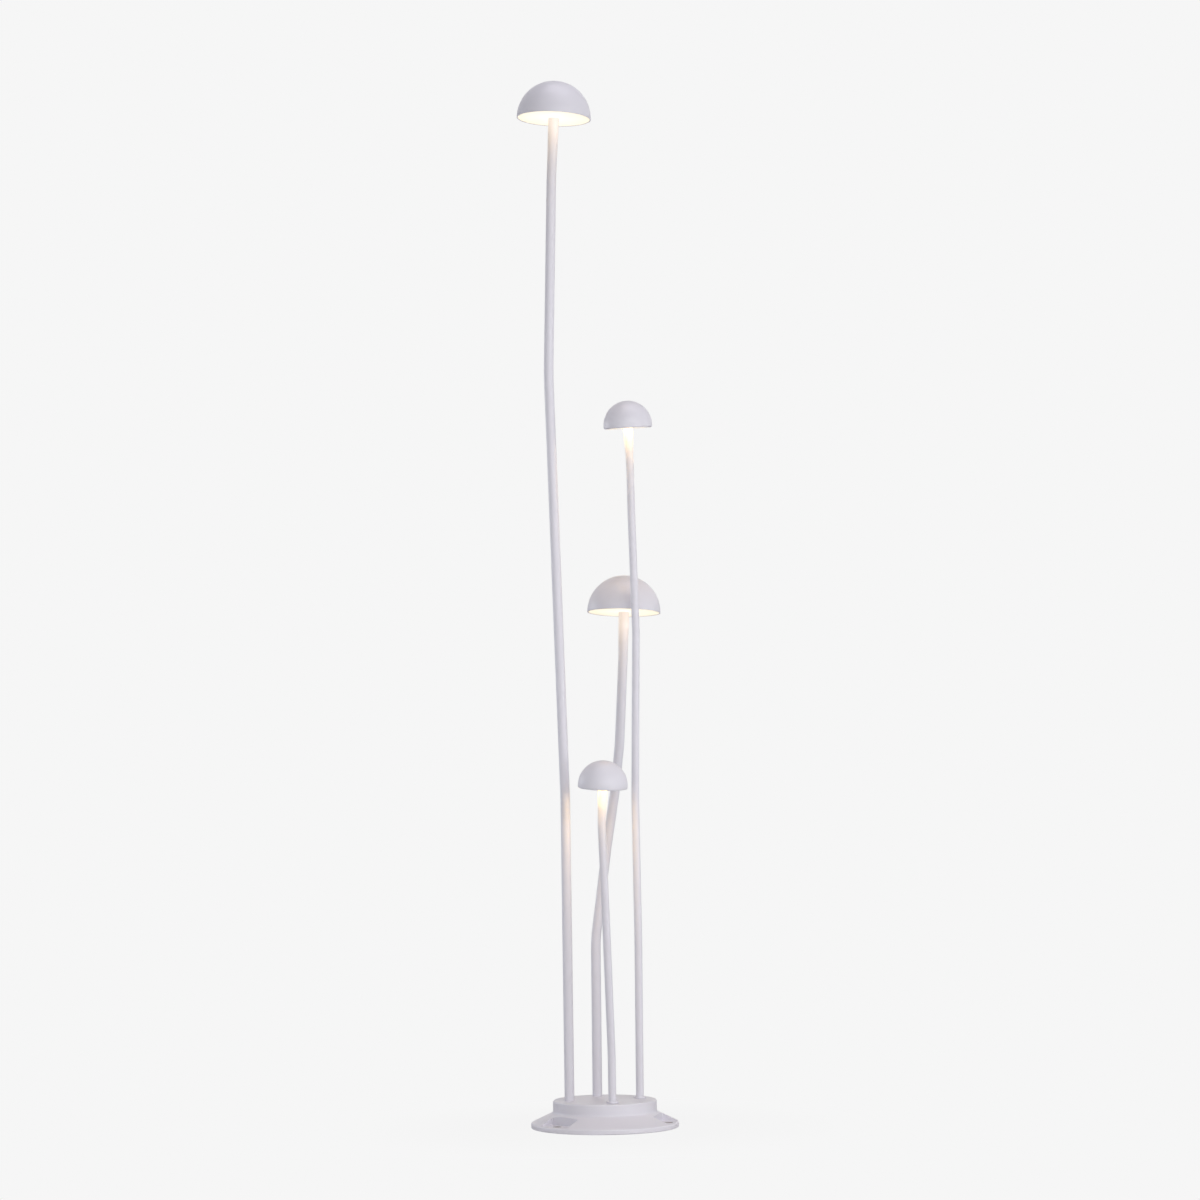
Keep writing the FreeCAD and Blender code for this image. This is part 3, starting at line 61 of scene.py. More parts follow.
MM = 0.001                    # metres in a millimetre
BODY = "root"                 # the model's one body: nothing on the lamp moves
RING_SIDES = 96               # facets round a tube, a foot ring and the floor
CAP_SIDES = 192               # facets round a cap and its disc
BOSS_SIDES = 24               # facets round a screw boss
SHARP_DEGREES = 32            # edges sharper than this stay crisp
SAME = 1e-9                   # lengths closer than this are the same
DRUM_TOP = 42.0               # height of the drum's top, where the tubes stand
FOOT_CIRCLE = 55.5            # radius of the circle through the tubes' feet
LINE_SHARE = 0.04             # scale of drawn lines along Z against the one across them
NOISE_DETAIL = 1.5            # octaves of the relief's noise
NOISE_ROUGHNESS = 0.45        # strength of each octave against the one before
CLOUD_DETAIL = 2.0            # octaves of the broad cloud in a finish's tone
REACH = "reach"               # mesh attribute: share of the way from axis to cap's edge


# ---- surfaces -------------------------------------------------------------------------------


@dataclass
class Surface:
    """Points in millimetres with the quads and triangles between them."""

    points: np.ndarray
    quads: np.ndarray
    triangles: np.ndarray = field(default_factory=lambda: np.zeros((0, 3), int))

    def placed(self, place: np.ndarray) -> "Surface":
        """The same surface moved and turned by a 4x4 place."""
        moved = self.points @ place[:3, :3].T + place[:3, 3]
        return Surface(moved, self.quads, self.triangles)

    def mesh(self, name: str) -> bpy.types.Mesh:
        """A mesh in metres, smooth but for its sharp edges.

        Args:
            name: name of the mesh.

        Returns:
            The new mesh.
        """
        mesh = bpy.data.meshes.new(name)
        corners = np.concatenate([self.quads.ravel(), self.triangles.ravel()])
        sizes = np.concatenate([np.full(len(self.quads), 4), np.full(len(self.triangles), 3)])
        mesh.vertices.add(len(self.points))
        mesh.vertices.foreach_set("co", (self.points * MM).astype(np.float32).ravel())
        mesh.loops.add(len(corners))
        mesh.loops.foreach_set("vertex_index", corners.astype(np.int32))
        mesh.polygons.add(len(sizes))
        mesh.polygons.foreach_set("loop_start", (np.cumsum(sizes) - sizes).astype(np.int32))
        mesh.update(calc_edges=True)
        mesh.validate()
        smooth(mesh)
        return mesh


def joined(*surfaces: Surface) -> Surface:
    """Several surfaces as one, each still closed by itself.

    Args:
        surfaces: the surfaces, whose corner indices are shifted past the points before them.

    Returns:
        The surface that holds them all.
    """
    counts = np.cumsum([0] + [len(surface.points) for surface in surfaces])
    return Surface(
        np.vstack([surface.points for surface in surfaces]),
        np.vstack([surface.quads + start for surface, start in zip(surfaces, counts)]),
        np.vstack([surface.triangles + start for surface, start in zip(surfaces, counts)]))


def smooth(mesh: bpy.types.Mesh) -> None:
    """Shade a mesh smooth, with its sharp edges kept crisp.

    Args:
        mesh: the mesh, which is changed in place.
    """
    mesh.polygons.foreach_set("use_smooth", np.ones(len(mesh.polygons), dtype=bool))
    mesh.set_sharp_from_angle(angle=math.radians(SHARP_DEGREES))
    mesh.update()


def grid_quads(rows: int, columns: int, close_rows: bool) -> np.ndarray:
    """Quads of a grid whose columns run round a ring.

    Args:
        rows: how many rings there are.
        columns: how many points each ring has.
        close_rows: whether the last ring joins the first.

    Returns:
        Corner indices, four to a quad, facing out where the rings go up the outside.
    """
    row = np.arange(rows if close_rows else rows - 1)[:, None]
    column = np.arange(columns)[None, :]
    above, beside = (row + 1) % rows, (column + 1) % columns
    corners = (row * columns + column, row * columns + beside,
               above * columns + beside, above * columns + column)
    return np.stack(np.broadcast_arrays(*corners), axis=-1).reshape(-1, 4)


def arc(centre: tuple[float, float], radius: float, start: float, end: float,
        count: int) -> np.ndarray:
    """Points of a circular arc: centre plus radius times (cos a, sin a), a from start to end.

    Args:
        centre: (radius, height) of the arc's centre.
        radius: the arc's radius.
        start: first angle in degrees, 0 outwards and 90 up.
        end: last angle in degrees.
        count: how many points.

    Returns:
        An array of (radius, height) rows.
    """
    angle = np.radians(np.linspace(start, end, count))
    return np.column_stack([centre[0] + radius * np.cos(angle),
                            centre[1] + radius * np.sin(angle)])


def turned(profile: np.ndarray, sides: int) -> Surface:
    """A profile turned once round the Z axis.

    Each point (r, z) becomes the ring (r cos a, r sin a, z). A profile that starts and ends
    on the axis is closed there by fans, and any other profile joins its own start.

    Args:
        profile: (radius, height) rows that run up the outside of the solid.
        sides: facets round the axis.

    Returns:
        The closed surface.
    """
    on_axis = abs(profile[0, 0]) < SAME
    rings = profile[1:-1] if on_axis else profile
    angle = 2 * math.pi * np.arange(sides) / sides
    points = np.stack([rings[:, :1] * np.cos(angle), rings[:, :1] * np.sin(angle),
                       np.repeat(rings[:, 1:], sides, axis=1)], axis=-1).reshape(-1, 3)
    quads = grid_quads(len(rings), sides, not on_axis)
    if not on_axis:
        return Surface(points, quads)
    first, last = len(points), len(points) + 1
    points = np.vstack([points, [0, 0, profile[0, 1]], [0, 0, profile[-1, 1]]])
    here = np.arange(sides)
    after = (here + 1) % sides
    top = (len(rings) - 1) * sides
    fans = np.vstack([np.column_stack([np.full(sides, first), after, here]),
                      np.column_stack([np.full(sides, last), top + here, top + after])])
    return Surface(points, quads, fans)


# ---- the line of a tube -----------------------------------------------------------------------


@dataclass(frozen=True)
class Stretch:
    """One stretch of a line, which starts at its origin and runs along its first direction.

    An arc turns from there towards its inward direction. A straight stretch has radius 0.
    """

    length: float
    radius: float
    origin: np.ndarray
    along: np.ndarray
    inward: np.ndarray

    def at(self, distance: np.ndarray) -> tuple[np.ndarray, np.ndarray]:
        """Points and directions at distances d from the stretch's start.

        On a straight stretch the point is origin + d along. On an arc of radius R, with the
        turn a = d / R, it is origin + R (sin a along + (1 - cos a) inward).

        Args:
            distance: the distances, as a column.

        Returns:
            The points and the unit directions.
        """
        if not self.radius:
            return self.origin + distance * self.along, self.along
        a = distance / self.radius
        point = self.origin + self.radius * (np.sin(a) * self.along
                                             + (1 - np.cos(a)) * self.inward)
        return point, np.cos(a) * self.along + np.sin(a) * self.inward


@dataclass(frozen=True)
class Route:
    """A tube's centre line: straight runs joined by arcs tangent to both of their runs."""

    corners: np.ndarray
    bend_radius: float

    def stretches(self) -> list[Stretch]:
        """The line's straight stretches and arcs in order.

        With the turn t between two runs, the arc starts and ends at R tan(t / 2) from their
        corner and is R t long.

        Returns:
            The stretches.
        """
        found = []
        start = self.corners[0]
        for before, corner, after in zip(self.corners, self.corners[1:], self.corners[2:]):
            into = unit(corner - before)
            out = unit(after - corner)
            turn = math.acos(min(1.0, float(into @ out)))
            reach = self.bend_radius * math.tan(turn / 2)
            begin = corner - into * reach
            found.append(Stretch(float(np.linalg.norm(begin - start)), 0.0, start, into, into))
            inward = unit(out - into * (into @ out))
            found.append(Stretch(self.bend_radius * turn, self.bend_radius, begin, into,
                                 inward))
            start = corner + out * reach
        last = self.corners[-1] - start
        found.append(Stretch(float(np.linalg.norm(last)), 0.0, start, unit(last), unit(last)))
        return found

    def length(self) -> float:
        """Length of the whole line."""
        return sum(stretch.length for stretch in self.stretches())

    def at(self, distance: np.ndarray) -> tuple[np.ndarray, np.ndarray]:
        """Points and directions at distances along the line.

        Each is looked up on the last stretch that starts at it or before it.

        Args:
            distance: distances from the line's start.

        Returns:
            The points and the unit directions, one row for each distance.
        """
        points = np.zeros((len(distance), 3))
        directions = np.zeros((len(distance), 3))
        start = 0.0
        for stretch in self.stretches():
            here = distance >= start - SAME
            points[here], directions[here] = stretch.at((distance[here] - start)[:, None])
            start += stretch.length
        return points, directions


def unit(vector: np.ndarray) -> np.ndarray:
    """The vector with length 1."""
    return vector / np.linalg.norm(vector)


def carried(route: Route, profile: np.ndarray, sides: int) -> Surface:
    """A closed profile carried along a route as rings square to it.

    Ring i lies at distance s_i along the route with radius r_i, and its points are
    p(s) + r (cos a side + sin a back), where side is +X made square to the route's
    direction and back completes the frame. The routes are near upright, so +X never fails.

    Args:
        route: the centre line.
        profile: (distance, radius) rows, out along the outside and back along the bore.
        sides: facets round the tube.

    Returns:
        The closed surface.
    """
    points, direction = route.at(profile[:, 0])
    side = np.array([1.0, 0.0, 0.0]) - direction * direction[:, :1]
    side /= np.linalg.norm(side, axis=1, keepdims=True)
    back = np.cross(direction, side)
    angle = 2 * math.pi * np.arange(sides) / sides
    ring = (np.cos(angle)[None, :, None] * side[:, None, :]
            + np.sin(angle)[None, :, None] * back[:, None, :])
    rings = points[:, None, :] + profile[:, 1][:, None, None] * ring
    return Surface(rings.reshape(-1, 3), grid_quads(len(profile), sides, True))


# ---- materials ----------------------------------------------------------------------------------


def colour(hexadecimal: str) -> tuple[float, float, float, float]:
    """An sRGB colour as a linear one, by the sRGB curve.

    A value v up to 0.04045 becomes v / 12.92, and any other ((v + 0.055) / 1.055) ** 2.4.

    Args:
        hexadecimal: the colour, such as "#DAD8DD".

    Returns:
        Linear red, green and blue, and alpha 1.
    """
    value = np.array([int(hexadecimal[i:i + 2], 16) for i in (1, 3, 5)]) / 255
    linear = np.where(value <= 0.04045, value / 12.92, ((value + 0.055) / 1.055) ** 2.4)
    return (*linear.tolist(), 1.0)


def add_node(tree: bpy.types.NodeTree, kind: str, values: dict[Any, Any] | None = None,
             links: dict[Any, tuple[bpy.types.Node, Any]] | None = None,
             **settings: Any) -> bpy.types.Node:
    """Add a shader node.

    Args:
        tree: node tree that gets it.
        kind: the node's type.
        values: socket name or number to the value it holds.
        links: socket name or number to the (node, output) that feeds it.
        settings: the node's own properties.

    Returns:
        The new node.
    """
    node = tree.nodes.new(kind)
    for name, value in settings.items():
        setattr(node, name, value)
    for socket, value in (values or {}).items():
        node.inputs[socket].default_value = value
    for socket, (source, output) in (links or {}).items():
        tree.links.new(source.outputs[output], node.inputs[socket])
    return node


def tone_between(tree: bpy.types.NodeTree, low: str, high: str,
                 share: tuple[bpy.types.Node, Any]) -> bpy.types.NodeSocket:
    """Add a mix of two colours.

    Args:
        tree: node tree that gets it.
        low: sRGB colour where the share is 0.
        high: sRGB colour where the share is 1.
        share: the (node, output) that feeds the share.

    Returns:
        The output that gives the mixed colour.
    """
    # A colour mix takes its two colours on inputs 6 and 7 and gives its result on output 2.
    mix = add_node(tree, "ShaderNodeMix", {6: colour(low), 7: colour(high)}, {0: share},
                   data_type="RGBA")
    return mix.outputs[2]


class Pattern(Enum):
    """How a surface's fine relief is laid out."""

    PEEL = "soft bumps, as on powder coat and mouldings"
    SPANGLE = "flat crystals, as on galvanised sheet"
    DRAWN = "long fine lines, as on turned or plated metal"


@dataclass(frozen=True)
class Finish:
    """A material: two close tones, a range of roughness and a fine relief.

    light and dark are sRGB. cell is the size of the relief's bumps, relief its height and
    cloud the size of the drift in tone, all in millimetres.
    """

    name: str
    light: str
    dark: str
    rough: tuple[float, float]
    cell: float
    relief: float
    pattern: Pattern = Pattern.PEEL
    metallic: float = 0.0
    ior: float = 1.5
    cloud: float = 60.0

    def relief_node(self, tree: bpy.types.NodeTree) -> tuple[bpy.types.Node, str]:
        """Add the relief's height.

        Args:
            tree: node tree that gets it.

        Returns:
            The node that gives the height, and the name of its output.
        """
        place = add_node(tree, "ShaderNodeTexCoord")
        scale = 1 / (self.cell * MM)
        if self.pattern is Pattern.SPANGLE:
            cells = add_node(tree, "ShaderNodeTexVoronoi", {"Scale": scale},
                             {"Vector": (place, "Object")})
            return cells, "Color"
        along = LINE_SHARE if self.pattern is Pattern.DRAWN else 1.0
        mapping = add_node(tree, "ShaderNodeMapping", {"Scale": (1.0, 1.0, along)},
                           {"Vector": (place, "Object")})
        noise = add_node(tree, "ShaderNodeTexNoise",
                         {"Scale": scale, "Detail": NOISE_DETAIL,
                          "Roughness": NOISE_ROUGHNESS},
                         {"Vector": (mapping, "Vector")})
        return noise, "Fac"

    def build(self) -> bpy.types.Material:
        """Make the material.

        Returns:
            A material whose tone drifts with a broad cloud and whose relief sets its bump
            and its roughness.
        """
        material = bpy.data.materials.new(self.name)
        material.use_nodes = True
        tree = material.node_tree
        shader = tree.nodes["Principled BSDF"]
        relief, output = self.relief_node(tree)
        place = add_node(tree, "ShaderNodeTexCoord")
        cloud = add_node(tree, "ShaderNodeTexNoise",
                         {"Scale": 1 / (self.cloud * MM), "Detail": CLOUD_DETAIL},
                         {"Vector": (place, "Object")})
        tone = tone_between(tree, self.dark, self.light, (cloud, "Fac"))
        roughness = add_node(tree, "ShaderNodeMapRange",
                             {"To Min": self.rough[0], "To Max": self.rough[1]},
                             {"Value": (relief, output)})
        bump = add_node(tree, "ShaderNodeBump", {"Distance": self.relief * MM},
                        {"Height": (relief, output)})
        tree.links.new(tone, shader.inputs["Base Color"])
        tree.links.new(roughness.outputs["Result"], shader.inputs["Roughness"])
        tree.links.new(bump.outputs["Normal"], shader.inputs["Normal"])
        shader.inputs["Metallic"].default_value = self.metallic
        shader.inputs["IOR"].default_value = self.ior
        return material


@dataclass(frozen=True)
class LitOpal(Finish):
    """Opal acrylic with light behind it: a satin white sheet that glows warm white.

    The glow turns from its middle tone to its edge tone with the mesh's reach attribute,
    which is the share of the way from the disc's axis to the cap's edge.
    """

    glow: str = "#D9D5CB"
    edge_glow: str = "#CEC19C"
    strength: float = 1.0

    def build(self) -> bpy.types.Material:
        """Make the material: the base finish with a steady glow of its own.

        Returns:
            The material.
        """
        material = super().build()
        tree = material.node_tree
        shader = tree.nodes["Principled BSDF"]
        reach = add_node(tree, "ShaderNodeAttribute", attribute_name=REACH)
        tone = tone_between(tree, self.glow, self.edge_glow, (reach, "Fac"))
        tree.links.new(tone, shader.inputs["Emission Color"])
        shader.inputs["Emission Strength"].default_value = self.strength
        return material


# Polyester powder coat, sprayed and baked: satin, with a faint orange peel. The real peel is
# about 1 mm across and is drawn at 2.4 mm, so that it breaks up the highlights.
POWDER_COAT = Finish("satin_white_powder_coat", "#DCDAE2", "#D9D7DF", (0.36, 0.44), 2.4, 0.012)
# Cast acrylic with a satin underside, lit from behind by a ring of warm white chips.
OPAL_ACRYLIC = LitOpal("satin_opal_acrylic", "#FBF8EE", "#F7F3E6", (0.42, 0.5), 1.5, 0.004,
                       ior=1.49)
# Turned aluminium: fine tool lines that spread its highlights.
TURNED_ALUMINIUM = Finish("turned_aluminium", "#D2D4D6", "#C2C4C7", (0.28, 0.42), 0.8, 0.004,
                          Pattern.DRAWN, metallic=1.0)
# White solder mask on a metal-core board: smooth and slightly glossy.
SOLDER_MASK = Finish("white_solder_mask", "#F1F0EA", "#E9E7DF", (0.3, 0.38), 2.0, 0.003)
# Bright zinc plate on steel: bluish silver with drawn lines under the plate.
ZINC_PLATE = Finish("bright_zinc_plate", "#C9CDD2", "#AEB3BA", (0.24, 0.38), 0.9, 0.004,
                    Pattern.DRAWN, metallic=1.0, cloud=14.0)
# Hot-dip galvanised sheet: grey crystals of 6 to 8 mm, each with its own sheen.
GALVANISED = Finish("galvanised_sheet", "#B9BEC2", "#9EA4A9", (0.34, 0.56), 7.0, 0.004,
                    Pattern.SPANGLE, metallic=1.0, cloud=9.0)
# Moulded silicone: dark, soft and matt.
SILICONE = Finish("moulded_silicone", "#2E2E30", "#262628", (0.6, 0.72), 1.2, 0.01, ior=1.41)
# Moulded nylon: white with a fine spark-eroded grain.
NYLON = Finish("moulded_white_nylon", "#DEDDDE", "#D6D5D6", (0.42, 0.54), 1.0, 0.012, ior=1.53)
# Moulded polycarbonate of the driver's case: smoother and a little warmer.
POLYCARBONATE = Finish("moulded_polycarbonate", "#E6E5E0", "#DFDED8", (0.34, 0.44), 1.4, 0.008,
                       ior=1.58)
# Silicone sheath of the leads: off-white and matt.
LEAD_SHEATH = Finish("silicone_lead_sheath", "#DAD9D5", "#D0CFCA", (0.5, 0.62), 1.2, 0.01,
                     ior=1.41)
# Painted shade in the fixing holes: a dull dark tone on their walls that stands in for the shade
# falling inside them.
PAINTED_HOLE_SHADE = Finish("painted_hole_shade", "#969090", "#878181", (0.5, 0.62), 1.2, 0.01)
# Tinned copper: warm grey, stamped and dipped.
TINNED_COPPER = Finish("tinned_copper", "#BDB8AC", "#A9A498", (0.28, 0.42), 1.4, 0.006,
                       metallic=1.0, cloud=8.0)


# ---- pieces -------------------------------------------------------------------------------------


class Paintbox:
    """Builds each finish once and gives it to the pieces that share it."""

    def __init__(self) -> None:
        """Start with no material built."""
        self.built: dict[str, bpy.types.Material] = {}

    def get(self, finish: Finish) -> bpy.types.Material:
        """The material of a finish, made the first time it is asked for.

        Args:
            finish: the finish.

        Returns:
            Its material.
        """
        if finish.name not in self.built:
            self.built[finish.name] = finish.build()
        return self.built[finish.name]


def added(name: str, data: bpy.types.ID) -> bpy.types.Object:
    """Put a new object into the scene.

    Args:
        name: the object's name.
        data: the mesh, light or camera that it holds.

    Returns:
        The object.
    """
    item = bpy.data.objects.new(name, data)
    bpy.context.scene.collection.objects.link(item)
    return item


def show(name: str, mesh: bpy.types.Mesh, material: bpy.types.Material, slot: str,
         *nodes: str) -> bpy.types.Object:
    """Add a piece of the lamp in place of the model's nodes.

    Args:
        name: the piece's name.
        mesh: its mesh, in metres in the model's frame.
        material: its finish.
        slot: the record's material slot; not used.
        nodes: the nodes that it stands for.

    Returns:
        The new object.
    """
    piece = added(name, mesh)
    mesh.materials.append(material)
    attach(piece, BODY)
    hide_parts(*nodes)
    log.info("%s: %d faces, stands for %s", name, len(mesh.polygons), ", ".join(nodes))
    return piece


# ---- heads and tubes ----------------------------------------------------------------------------


@dataclass(frozen=True)
class HeadSizes:
    """Sizes of one kind of head and its tube.

    The skirt is the straight rim below the cap's dome, hub_height the underside of the plate
    inside the head, above the rim, and boss_circle the radius on which the cap's screw
    bosses stand.
    """

    tube_radius: float
    neck_radius: float
    flare_length: float
    thread_radius: float
    thread_bore: float
    cap_radius: float
    cap_skirt: float
    rim_width: float
    rim_round: float
    hub_height: float
    boss_circle: float
    grooved: bool
    collared: bool


class Kind(Enum):
    """The two kinds of head."""

    LARGE = HeadSizes(tube_radius=7.5, neck_radius=8.5, flare_length=66.0, thread_radius=6.0,
                      thread_bore=3.5, cap_radius=58.0, cap_skirt=1.0, rim_width=1.8,
                      rim_round=0.5, hub_height=22.0, boss_circle=34.0, grooved=True,
                      collared=False)
    SMALL = HeadSizes(tube_radius=6.0, neck_radius=7.4, flare_length=42.0, thread_radius=5.0,
                      thread_bore=2.8, cap_radius=38.0, cap_skirt=5.0, rim_width=3.4,
                      rim_round=2.8, hub_height=16.0, boss_circle=22.0, grooved=False,
                      collared=True)


@dataclass(frozen=True)
class Mushroom:
    """One tube with its head.

    foot_angle is the foot's place on its circle in degrees, and runs are the tube's straight
    runs from the drum's top to the centre of the cap's rim, as steps along x, y and z. The
    hub collar lies between the tube's shoulder and the plate in the head, the disc is the
    opal sheet and the ring lies round a slim tube's foot. Heights in the head are above the
    rim. The values that end in points say how many a curve of a section has.
    """

    name: str
    kind: Kind
    foot_angle: float
    bend_radius: float
    runs: tuple[tuple[float, float, float], ...]
    tube_wall: float = 1.5
    head_thread: float = 8.5
    foot_thread: float = 11.0
    plug_depth: float = 10.0
    tube_step: float = 8.0
    flare_points: int = 24
    cap_wall: float = 2.0
    hub_thickness: float = 2.5
    hub_collar: float = 1.0
    groove_height: float = 2.0
    groove_width: float = 0.6
    groove_depth: float = 0.35
    seal_width: float = 1.7
    ledge_low: float = 4.6
    ledge_high: float = 6.3
    boss_radius: float = 3.6
    boss_angles: tuple[float, ...] = (0.0, 120.0, 240.0)
    dome_points: int = 90
    inside_points: int = 40
    rim_points: int = 10
    disc_recess: float = 0.6
    disc_thickness: float = 2.8
    disc_gap: float = 0.2
    disc_round: float = 0.3
    disc_points: int = 5
    ring_gap: float = 0.1
    ring_radius: float = 9.25
    ring_height: float = 3.0
    ring_round: float = 0.6
    ring_chamfer: float = 0.5
    ring_points: int = 8

    def foot(self) -> np.ndarray:
        """Centre of the tube's foot, on top of the drum."""
        angle = math.radians(self.foot_angle)
        return np.array([FOOT_CIRCLE * math.cos(angle), FOOT_CIRCLE * math.sin(angle), DRUM_TOP])

    def corners(self) -> np.ndarray:
        """The foot, the corner after each run, and last the centre of the rim."""
        return np.vstack([self.foot(), self.foot() + np.cumsum(self.runs, axis=0)])

    def head_place(self) -> np.ndarray:
        """Place of the head: at the rim's centre, with +Z along the last run.

        Returns:
            A 4x4 matrix in millimetres.
        """
        corners = self.corners()
        axis = Vector(corners[-1] - corners[-2]).normalized()
        turn = Vector((0, 0, 1)).rotation_difference(axis).to_matrix().to_4x4()
        return np.array(Matrix.Translation(Vector(corners[-1])) @ turn)

    def tube(self) -> Surface:
        """The bent tube with its widened neck, threaded ends and bore.

        The outside's radius along the line is the thread's up to the drum's top, then the
        tube's, then grows evenly over the flare to the neck's, and is the thread's again
        above the shoulder. The bore is narrow in the plugs at both ends.

        Returns:
            The closed surface.
        """
        k = self.kind.value
        corners = self.corners()
        last = unit(corners[-1] - corners[-2])
        shoulder = k.hub_height - self.hub_collar
        rise = shoulder + self.hub_collar + self.head_thread
        line = Route(np.vstack([corners[0] - [0, 0, self.foot_thread], corners[:-1],
                                corners[-1] + last * rise]), self.bend_radius)
        end = line.length()
        rim, foot = end - rise, self.foot_thread
        flare = rim - k.flare_length
        steps = np.linspace(foot, flare, int((flare - foot) / self.tube_step))
        plain = np.column_stack([steps, np.full(len(steps), k.tube_radius)])
        widening = np.linspace(flare, rim, self.flare_points)[1:]
        share = (widening - flare) / k.flare_length
        wide = np.column_stack([widening,
                                k.tube_radius + (k.neck_radius - k.tube_radius) * share])
        inner = k.tube_radius - self.tube_wall
        low_plug, high_plug = foot + self.plug_depth, rim + shoulder - self.plug_depth
        back = np.linspace(high_plug, low_plug, int((high_plug - low_plug) / self.tube_step))
        profile = np.vstack([
            [[0, k.thread_radius], [foot, k.thread_radius]], plain, wide,
            [[rim + shoulder, k.neck_radius], [rim + shoulder, k.thread_radius],
             [end, k.thread_radius], [end, k.thread_bore], [high_plug, k.thread_bore]],
            np.column_stack([back, np.full(len(back), inner)]),
            [[low_plug, k.thread_bore], [0, k.thread_bore]]])
        return carried(line, profile, RING_SIDES)

    def cap_profile(self) -> np.ndarray:
        """Section of the cap, from the inner crown round the rim to the top.

        Both domes are arcs about the axis at the skirt's height. The inner one ends on the
        seal ledge, and the outer one starts at the skirt, or above the groove where the
        cap has one.

        Returns:
            (radius, height) rows that start and end on the axis.
        """
        k = self.kind.value
        inner = k.cap_radius - self.cap_wall
        rebate = k.cap_radius - k.rim_width
        lip = rebate - self.seal_width
        low, high = self.ledge_low, self.ledge_high
        start = math.degrees(math.asin((high - k.cap_skirt) / inner))
        edge = k.cap_radius - k.rim_round
        rows = [arc((0, k.cap_skirt), inner, 90, start, self.inside_points),
                [[lip, high], [lip, low], [rebate, low], [rebate, 0], [edge, 0]],
                arc((edge, k.rim_round), k.rim_round, -90, 0, self.rim_points)]
        rise = 0.0
        if k.grooved:
            low_edge, high_edge = self.groove_height, self.groove_height + self.groove_width
            floor = k.cap_radius - self.groove_depth
            rise = math.degrees(math.asin((high_edge - k.cap_skirt) / k.cap_radius))
            rows.append([[k.cap_radius, k.cap_skirt], [k.cap_radius, low_edge],
                         [floor, low_edge], [floor, high_edge]])
        rows.append(arc((0, k.cap_skirt), k.cap_radius, rise, 90, self.dome_points))
        profile = np.vstack(rows)
        profile[[0, -1], 0] = 0.0
        return profile

    def cap(self) -> Surface:
        """The dome with its rebate, seal ledge and three screw bosses.

        A boss stands on the plate and ends where its outer side meets the inner dome.

        Returns:
            The closed surfaces as one, with the rim's centre at the origin.
        """
        k = self.kind.value
        bottom = k.hub_height + self.hub_thickness
        inner = k.cap_radius - self.cap_wall
        top = k.cap_skirt + math.sqrt(inner ** 2 - (k.boss_circle + self.boss_radius) ** 2)
        boss = turned(np.array([[0, bottom], [self.boss_radius, bottom],
                                [self.boss_radius, top], [0, top]]), BOSS_SIDES)
        bosses = [boss.placed(shift(k.boss_circle * math.cos(a), k.boss_circle * math.sin(a), 0))
                  for a in np.radians(self.boss_angles)]
        return joined(turned(self.cap_profile(), CAP_SIDES), *bosses)

    def diffuser(self) -> Surface:
        """The opal disc round the neck: a rectangle with rounded corners, turned.

        Returns:
            The closed surface, with the rim's centre at the origin.
        """
        k = self.kind.value
        r, count = self.disc_round, self.disc_points
        near = k.neck_radius + self.disc_gap + r
        far = k.cap_radius - k.rim_width - self.disc_gap - r
        low, high = self.disc_recess + r, self.disc_recess + self.disc_thickness - r
        profile = np.vstack([
            arc((far, low), r, -90, 0, count), arc((far, high), r, 0, 90, count),
            arc((near, high), r, 90, 180, count), arc((near, low), r, 180, 270, count)])
        return turned(profile, CAP_SIDES)

    def collar(self) -> Surface:
        """The ring round a slim tube's foot, chamfered below and rounded above.

        Returns:
            The closed surface in its place.
        """
        inside, outside = self.kind.value.tube_radius + self.ring_gap, self.ring_radius
        height, r, chamfer = self.ring_height, self.ring_round, self.ring_chamfer
        profile = np.vstack([[[inside, 0], [outside - chamfer, 0], [outside, chamfer]],
                             arc((outside - r, height - r), r, 0, 90, self.ring_points),
                             [[inside, height]]])
        return turned(profile, RING_SIDES).placed(shift(*self.foot()))

    def build(self, paints: Paintbox) -> None:
        """Add the tube, the cap and the opal disc, dressed.

        Args:
            paints: where the finishes come from.
        """
        place = self.head_place()
        coat, opal = paints.get(POWDER_COAT), paints.get(OPAL_ACRYLIC)
        name = self.name
        show(f"{name}_bent_tube", self.tube().mesh(f"{name}_bent_tube"), coat, "powder_coat",
             f"{name}_tube")
        show(f"{name}_dome", self.cap().placed(place).mesh(f"{name}_dome"), coat,
             "powder_coat", f"{name}_cap")
        disc = self.diffuser()
        mesh = disc.placed(place).mesh(f"{name}_opal_disc")
        reach = mesh.attributes.new(REACH, "FLOAT", "POINT")
        reach.data.foreach_set("value", np.linalg.norm(disc.points[:, :2], axis=1)
                               / self.kind.value.cap_radius)
        show(f"{name}_opal_disc", mesh, opal, "opal_acrylic", f"{name}_diffuser")


def shift(x: float, y: float, z: float) -> np.ndarray:
    """A place that moves without a turn.

    Args:
        x: step to the right.
        y: step away from the viewer.
        z: step up.

    Returns:
        A 4x4 matrix.
    """
    place = np.eye(4)
    place[:3, 3] = (x, y, z)
    return place


